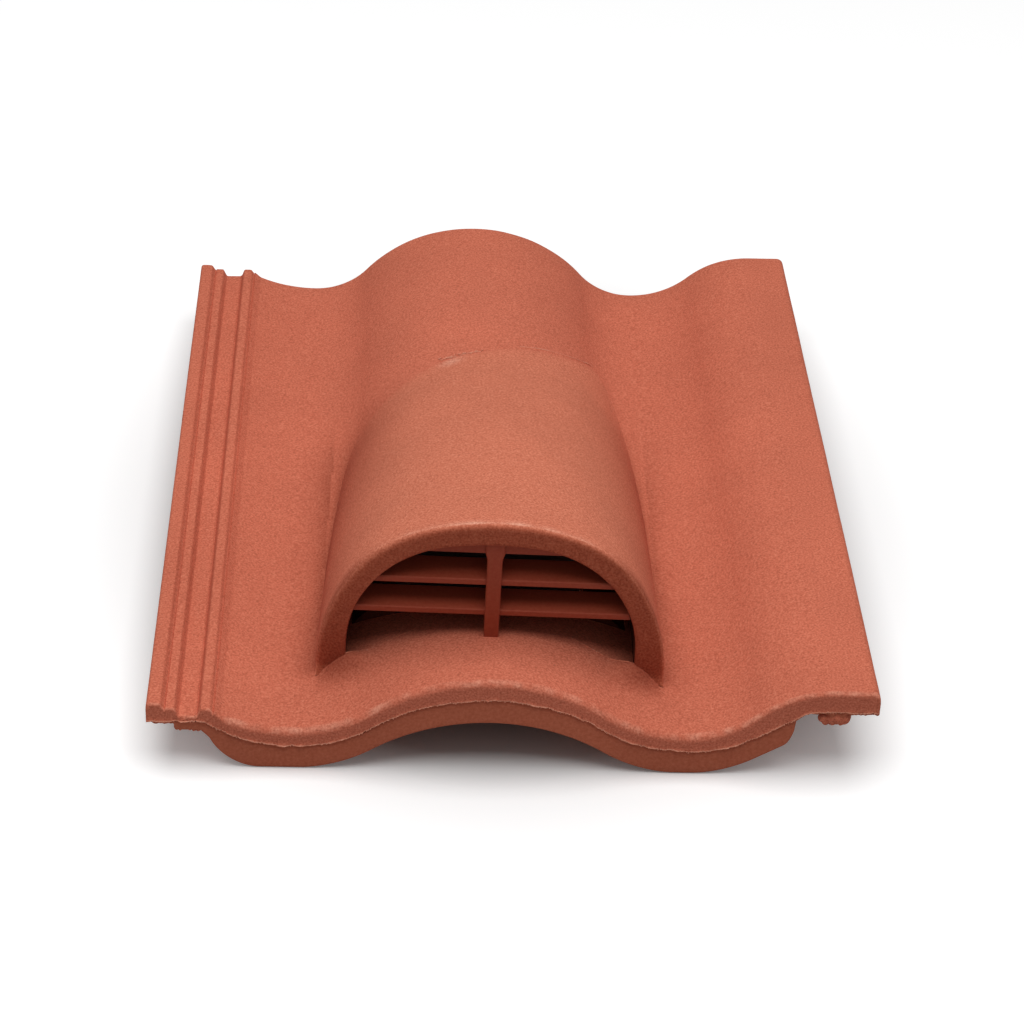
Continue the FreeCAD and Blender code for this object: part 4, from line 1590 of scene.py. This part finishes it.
def crumb_tree() -> bpy.types.NodeTree:
    """The node tree that strews grains along a path.

    Returns:
        The tree, built once.
    """
    found = bpy.data.node_groups.get("crumbs_along_path")
    if found:
        return found
    tree, given = path_tree("crumbs_along_path", {
        "Spacing": "NodeSocketFloat", "Grain": "NodeSocketFloat", "Scatter": "NodeSocketVector",
        "Share": "NodeSocketFloat", "Facets": "NodeSocketInt", "Seed": "NodeSocketInt",
        "Material": "NodeSocketMaterial"})
    line = add_node(tree, "GeometryNodeMeshToCurve", {"Mesh": given.outputs["Path"]})
    spots = add_node(tree, "GeometryNodeResampleCurve", {
        "Curve": line.outputs[0], "Length": given.outputs["Spacing"]}, mode="LENGTH")
    low = add_node(tree, "ShaderNodeVectorMath", {
        0: given.outputs["Scatter"], 1: (-1.0, -1.0, -1.0)}, operation="MULTIPLY")
    offset = add_node(tree, "FunctionNodeRandomValue", {
        0: low.outputs[0], 1: given.outputs["Scatter"], "Seed": given.outputs["Seed"]},
        data_type="FLOAT_VECTOR")
    strewn = add_node(tree, "GeometryNodeSetPosition", {
        "Geometry": spots.outputs[0], "Offset": offset.outputs[0]})
    kept = add_node(tree, "FunctionNodeRandomValue", {
        "Probability": given.outputs["Share"], "Seed": given.outputs["Seed"]}, data_type="BOOLEAN")
    turn = add_node(tree, "FunctionNodeRandomValue", {
        0: (0.0, 0.0, 0.0), 1: (6.28, 6.28, 6.28), "Seed": given.outputs["Seed"]}, data_type="FLOAT_VECTOR")
    size = add_node(tree, "FunctionNodeRandomValue", {
        0: (0.35, 0.35, 0.35), 1: (1.0, 0.8, 0.7), "Seed": given.outputs["Seed"]}, data_type="FLOAT_VECTOR")
    grain = add_node(tree, "GeometryNodeMeshIcoSphere", {
        "Radius": given.outputs["Grain"], "Subdivisions": given.outputs["Facets"]})
    grains = add_node(tree, "GeometryNodeInstanceOnPoints", {
        "Points": strewn.outputs[0], "Selection": kept.outputs[3], "Instance": grain.outputs[0],
        "Rotation": turn.outputs[0], "Scale": size.outputs[0]})
    close_tree(tree, given, grains.outputs[0])
    return tree


def bead_tree() -> bpy.types.NodeTree:
    """The node tree that runs an uneven bead along a path.

    Returns:
        The tree, built once.
    """
    found = bpy.data.node_groups.get("bead_along_path")
    if found:
        return found
    tree, given = path_tree("bead_along_path", {
        "Spacing": "NodeSocketFloat", "Radius": "NodeSocketFloat", "Unevenness": "NodeSocketFloat",
        "Wave": "NodeSocketFloat", "Material": "NodeSocketMaterial"})
    line = add_node(tree, "GeometryNodeMeshToCurve", {"Mesh": given.outputs["Path"]})
    spots = add_node(tree, "GeometryNodeResampleCurve", {
        "Curve": line.outputs[0], "Length": given.outputs["Spacing"]}, mode="LENGTH")
    place = add_node(tree, "GeometryNodeInputPosition")
    scale = add_node(tree, "ShaderNodeMath", {0: 1.0, 1: given.outputs["Wave"]}, operation="DIVIDE")
    wave = add_node(tree, "ShaderNodeTexNoise", {
        "Vector": place.outputs[0], "Scale": scale.outputs[0], "Detail": 2.0})
    least = add_node(tree, "ShaderNodeMath", {0: 1.0, 1: given.outputs["Unevenness"]}, operation="SUBTRACT")
    most = add_node(tree, "ShaderNodeMath", {0: 1.0, 1: given.outputs["Unevenness"]}, operation="ADD")
    swell = add_node(tree, "ShaderNodeMapRange", {
        "Value": wave.outputs["Fac"], "From Min": 0.35, "From Max": 0.65,
        "To Min": least.outputs[0], "To Max": most.outputs[0]})
    ring = add_node(tree, "GeometryNodeCurvePrimitiveCircle", {
        "Resolution": 6, "Radius": given.outputs["Radius"]})
    run = add_node(tree, "GeometryNodeCurveToMesh", {
        "Curve": spots.outputs[0], "Profile Curve": ring.outputs[0], "Scale": swell.outputs[0],
        "Fill Caps": True})
    close_tree(tree, given, run.outputs[0])
    return tree


@dataclass
class Pathwork:
    """What was left along a line: crumbs where the mould halves met, or a bead of slurry."""

    name: str
    tree: bpy.types.NodeTree
    points: np.ndarray
    settings: dict[str, Any]
    finish: Finish
    slot: str
    longest_step: float = 20.0

    def build(self) -> bpy.types.Object:
        """Lay the path, broken where its points lie far apart, run its node tree and keep the mesh.

        Returns:
            The finished trimming.
        """
        piece = mesh_object(self.name, self.points, [], [])
        starts = np.nonzero(np.linalg.norm(np.diff(self.points, axis=0), axis=1) < self.longest_step)[0]
        pairs = np.stack([starts, starts + 1], axis=-1)
        piece.data.edges.add(len(pairs))
        piece.data.edges.foreach_set("vertices", pairs.ravel().astype(np.int32))
        modifier = piece.modifiers.new("pathwork", "NODES")
        modifier.node_group = self.tree
        values = dict(self.settings, Material=self.finish.material())
        for socket in self.tree.interface.items_tree:
            if socket.in_out == "INPUT" and socket.name in values:
                modifier[socket.identifier] = values[socket.name]
        apply_modifiers(piece)
        piece.data.polygons.foreach_set("use_smooth", [True] * len(piece.data.polygons))
        return piece

    def dress(self, piece: bpy.types.Object) -> None:
        """Let the trimming ride on the part."""
        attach(piece, BODY)


def crumbs(name: str, points: np.ndarray, grain: float, spacing: float, scatter: Sequence[float],
           share: float, seed: int, finish: Finish, facets: int = 1) -> Pathwork:
    """Crumbs along a line, with sizes in millimetres.

    Args:
        name: Name of the piece.
        points: Points of the line.
        grain: Radius of the largest grain.
        spacing: Distance between grains.
        scatter: How far grains lie off the line, along each axis.
        share: Share of the grains that are kept.
        seed: Which set of random numbers to take.
        finish: Finish of the grains.
        facets: How finely each grain is divided.

    Returns:
        The crumbs, not yet built.
    """
    settings = {"Spacing": spacing * MM, "Grain": grain * MM, "Scatter": [reach * MM for reach in scatter],
                "Share": share, "Seed": seed, "Facets": facets}
    return Pathwork(name, crumb_tree(), points, settings, finish, "tile_concrete")


def bead(name: str, points: np.ndarray, radius: float, unevenness: float, wave: float,
         finish: Finish) -> Pathwork:
    """A bead of slurry along a line, with sizes in millimetres.

    Args:
        name: Name of the piece.
        points: Points of the line.
        radius: Mean radius of the bead.
        unevenness: Share of the radius by which it swells and shrinks.
        wave: Length over which it does so.
        finish: Finish of the bead.

    Returns:
        The bead, not yet built.
    """
    settings = {"Spacing": 1.0 * MM, "Radius": radius * MM, "Unevenness": unevenness, "Wave": wave * MM}
    return Pathwork(name, bead_tree(), points, settings, finish, "hood_concrete")


def trimmings(tile: Tile, hood: Hood) -> list[Pathwork]:
    """What casting and bedding left on the part.

    Args:
        tile: The tile, with its sizes.
        hood: The hood, with its sizes.

    Returns:
        The crumbs along the nose and the slurry round the hood.
    """
    x = tile.across()
    flash = np.stack([x, np.full_like(x, tile.nose - 0.2), tile.flash_line(x)], axis=-1)
    seam = hood.seam()
    rear_from, smear_span, right_span = 12.0, (-32.0, -10.0), (10.0, 52.0)
    rear = seam[seam[:, 1] > rear_from]
    smear = rear[(rear[:, 0] > smear_span[0]) & (rear[:, 0] < smear_span[1])]
    y = smear[0, 1] + 0.55 * (smear[:, 1] - smear[0, 1]) + 1.0 * ragged(smear[:, 0], 5.0, 2.6)
    under, over = tile.top(smear[:, 0], y), hood.outer_height(smear[:, 0], y)
    smear = np.column_stack([smear[:, 0], y, np.maximum(under, over) + hood.swell(under, over) + 0.05])
    right = rear[(rear[:, 0] > right_span[0]) & (rear[:, 0] < right_span[1])]
    lump = np.linspace((140.5, tile.nose + 3.0, 31.5), (149.8, tile.nose + 3.0, 31.5), 6)
    burr = np.linspace((-152.0, tile.nose + 2.5, 21.5), (-139.0, tile.nose + 2.5, 20.4), 6)
    left_bed = hood.sill_line(np.linspace(-1.0, -0.5, 12), np.linspace(0.5, 13.0, 12))
    right_bed = hood.sill_line(np.linspace(0.55, 1.0, 12), np.linspace(11.0, 0.5, 12))
    beds = np.concatenate([left_bed, right_bed])
    return [
        crumbs("flash_crumbs", flash, grain=0.6, spacing=0.6, scatter=(0.4, 0.2, 0.35), share=0.5,
               seed=3, finish=Finish.FLASH),
        crumbs("bed_crumbs", beds, grain=0.5, spacing=1.1, scatter=(0.7, 0.7, 0.0), share=0.35,
               seed=17, finish=Finish.SLURRY),
        crumbs("smear_crumbs", smear, grain=0.6, spacing=0.25, scatter=(1.2, 1.7, 0.1), share=0.7,
               seed=29, finish=Finish.FLASH),
        bead("smear_slurry", smear, radius=0.22, unevenness=1.0, wave=4.0, finish=Finish.FLASH),
        bead("right_seam_slurry", right, radius=0.3, unevenness=0.7, wave=9.0, finish=Finish.FLASH),
        bead("left_bed_slurry", left_bed, radius=0.16, unevenness=0.9, wave=6.0, finish=Finish.HOOD),
        bead("right_bed_slurry", right_bed, radius=0.16, unevenness=0.9, wave=6.0, finish=Finish.HOOD),
        crumbs("rib_end_lump", lump, grain=4.6, spacing=1.1, scatter=(0.4, 0.6, 0.5), share=1.0,
               seed=41, finish=Finish.SANDED, facets=3),
        crumbs("lock_burr", burr, grain=2.0, spacing=0.8, scatter=(0.5, 0.8, 1.0), share=0.9,
               seed=57, finish=Finish.SANDED, facets=2),
    ]


@dataclass
class Studio:
    """Pale floor, soft light from above and a camera where the photograph was taken from.

    The camera's place and the ovals on the floor are in millimetres, the floor and the lamp in metres.
    """

    camera_place: tuple[float, float, float] = (-63.9, -1277.8, 822.8)
    yaw: float = 3.137
    pitch: float = 32.536
    roll: float = 2.75
    lens: float = 103.79
    sensor: float = 36.0
    floor_side: float = 12.0
    floor_bounce: float = 0.46
    # Painted light: the glow that fills the soft shade just round the part.
    floor_painted_light: float = 0.27
    floor_far: float = 0.5
    # Painted shade: the floor's paint under the part, darkest under the hood's throat.
    floor_painted_shade: float = 0.25
    floor_paint: float = 0.94
    shade_oval: tuple[tuple[float, float], tuple[float, float]] = ((-10.0, -75.0), (85.0, 110.0))
    part_oval: tuple[tuple[float, float], tuple[float, float]] = ((0.0, 0.0), (150.0, 190.0))
    shade_ramp: tuple[float, float] = (0.55, 1.35)
    near_ramp: tuple[float, float] = (1.05, 1.6)
    far_ramp: tuple[float, float] = (2.0, 20.0)
    lamp_place: tuple[float, float, float] = (-0.05, -0.3, 1.7)
    lamp_side: float = 1.7
    lamp_power: float = 26.8
    world_level: float = 0.24

    def build_camera(self) -> None:
        """Place the camera."""
        yaw, pitch, roll = (math.radians(angle) for angle in (self.yaw, self.pitch, self.roll))
        ahead = Vector((math.sin(yaw) * math.cos(pitch), math.cos(yaw) * math.cos(pitch), -math.sin(pitch)))
        level = Vector((math.cos(yaw), -math.sin(yaw), 0.0))
        lift = level.cross(ahead)
        right = math.cos(roll) * level + math.sin(roll) * lift
        up = math.cos(roll) * lift - math.sin(roll) * level
        data = bpy.data.cameras.new("camera")
        data.lens = self.lens
        data.sensor_width = self.sensor
        camera = bpy.data.objects.new("camera", data)
        turn = Matrix((right, up, -ahead)).transposed()
        camera.matrix_world = Matrix.Translation(Vector(self.camera_place) * MM) @ turn.to_4x4()
        bpy.context.scene.collection.objects.link(camera)
        bpy.context.scene.camera = camera

    def build_floor(self) -> bpy.types.Object:
        """Lay the floor.

        Returns:
            The floor, which is not part of the object.
        """
        half = self.floor_side / 2 / MM
        corners = np.array([(-half, -half, 0), (half, -half, 0), (half, half, 0), (-half, half, 0)])
        material = bpy.data.materials.new("painted floor")
        material.use_nodes = True
        tree = material.node_tree
        tree.nodes.clear()
        # The camera sees white paint with painted shade, darker under the part, and a glow of painted light
        # that fills the soft shade round it, so the backdrop is white and the shadow by the part stays;
        # other rays meet a grey, which keeps the bounce from below low.
        seen = self.seen_rays(tree)
        grey = add_node(tree, "ShaderNodeBsdfDiffuse", {"Color": (self.floor_bounce,) * 3 + (1.0,)})
        # Painted shade on the floor under the part.
        shade = add_node(tree, "ShaderNodeMapRange", {
            "Value": self.reach(tree, *self.shade_oval),
            "From Min": self.shade_ramp[0], "From Max": self.shade_ramp[1],
            "To Min": self.floor_painted_shade, "To Max": self.floor_paint})
        away = self.reach(tree, *self.part_oval)
        # Painted light: a glow rising just outside the part, filling its soft shade.
        near = add_node(tree, "ShaderNodeMapRange", {
            "Value": away, "From Min": self.near_ramp[0], "From Max": self.near_ramp[1],
            "To Min": 0.0, "To Max": self.floor_painted_light})
        far = add_node(tree, "ShaderNodeMapRange", {
            "Value": away, "From Min": self.far_ramp[0], "From Max": self.far_ramp[1],
            "To Min": 0.0, "To Max": self.floor_far})
        glow = add_node(tree, "ShaderNodeMath", {0: near.outputs[0], 1: far.outputs[0]}, operation="ADD")
        paint = add_node(tree, "ShaderNodeBsdfDiffuse", {"Color": shade.outputs[0]})
        lift = add_node(tree, "ShaderNodeEmission", {"Strength": glow.outputs[0]})
        white = add_node(tree, "ShaderNodeAddShader", {0: paint.outputs[0], 1: lift.outputs[0]})
        mix = add_node(tree, "ShaderNodeMixShader", {0: seen, 1: grey.outputs[0], 2: white.outputs[0]})
        add_node(tree, "ShaderNodeOutputMaterial", {"Surface": mix.outputs[0]})
        return mesh_object("studio_floor", corners, [(0, 1, 2, 3)], [material])

    @staticmethod
    def reach(tree: bpy.types.NodeTree, middle: tuple[float, float],
              halves: tuple[float, float]) -> bpy.types.NodeSocket:
        """Distance over the floor from a place, one at the edge of an oval round it.

        Args:
            tree: The node tree to add to.
            middle: The middle of the oval, in millimetres.
            halves: Half its width and half its length.

        Returns:
            The socket that gives the distance.
        """
        place = add_node(tree, "ShaderNodeTexCoord").outputs["Object"]
        away = add_node(tree, "ShaderNodeVectorMath", {
            0: place, 1: (middle[0] * MM, middle[1] * MM, 0.0)}, operation="SUBTRACT")
        spread = add_node(tree, "ShaderNodeVectorMath", {
            0: away.outputs[0], 1: (1 / (halves[0] * MM), 1 / (halves[1] * MM), 0.0)}, operation="MULTIPLY")
        length = add_node(tree, "ShaderNodeVectorMath", {0: spread.outputs[0]}, operation="LENGTH")
        return length.outputs["Value"]

    @staticmethod
    def seen_rays(tree: bpy.types.NodeTree) -> bpy.types.NodeSocket:
        """One for rays that show the surroundings to the camera, straight or by way of a shiny face.

        Args:
            tree: The node tree to add to.

        Returns:
            The socket that gives the number.
        """
        path = add_node(tree, "ShaderNodeLightPath")
        shiny = add_node(tree, "ShaderNodeMath", {
            0: path.outputs["Is Glossy Ray"], 1: path.outputs["Is Transmission Ray"]}, operation="MAXIMUM")
        seen = add_node(tree, "ShaderNodeMath", {
            0: path.outputs["Is Camera Ray"], 1: shiny.outputs[0]}, operation="MAXIMUM")
        return seen.outputs[0]

    def build_lights(self) -> None:
        """Hang the softbox and set the world."""
        data = bpy.data.lights.new("overhead_softbox", "AREA")
        data.shape = "SQUARE"
        data.size = self.lamp_side
        data.energy = self.lamp_power
        lamp = bpy.data.objects.new("overhead_softbox", data)
        lamp.location = self.lamp_place
        bpy.context.scene.collection.objects.link(lamp)
        world = bpy.data.worlds.new("studio")
        world.use_nodes = True
        tree = world.node_tree
        tree.nodes.clear()
        plain = linear("#FFFFFF")
        dim = add_node(tree, "ShaderNodeBackground", {"Color": plain, "Strength": self.world_level})
        white = add_node(tree, "ShaderNodeBackground", {"Color": plain, "Strength": 1.0})
        mix = add_node(tree, "ShaderNodeMixShader", {
            0: self.seen_rays(tree), 1: dim.outputs[0], 2: white.outputs[0]})
        add_node(tree, "ShaderNodeOutputWorld", {"Surface": mix.outputs[0]})
        bpy.context.scene.world = world

    def build(self) -> None:
        """Set up the camera, the floor and the light."""
        self.build_camera()
        self.build_floor()
        self.build_lights()
        bpy.context.scene.view_settings.view_transform = "Standard"


def main() -> None:
    """Build the part, dress it and set the studio."""
    logging.basicConfig(level=logging.INFO, format="%(message)s")
    low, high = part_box("tile")
    tile = Tile(width=(high.x - low.x) / MM, length=(high.y - low.y) / MM)
    hood = Hood(tile)
    tile.mortar, tile.crease_dust_and_shade = hood.mortar, hood.crease_dust_and_shade
    parts = [tile, hood, Louvre(hood)] + trimmings(tile, hood)
    for part in parts:
        piece = part.build()
        part.dress(piece)
        LOG.info("%s: %d faces", piece.name, len(piece.data.polygons))
    Studio().build()


if __name__ == "__main__":
    main()
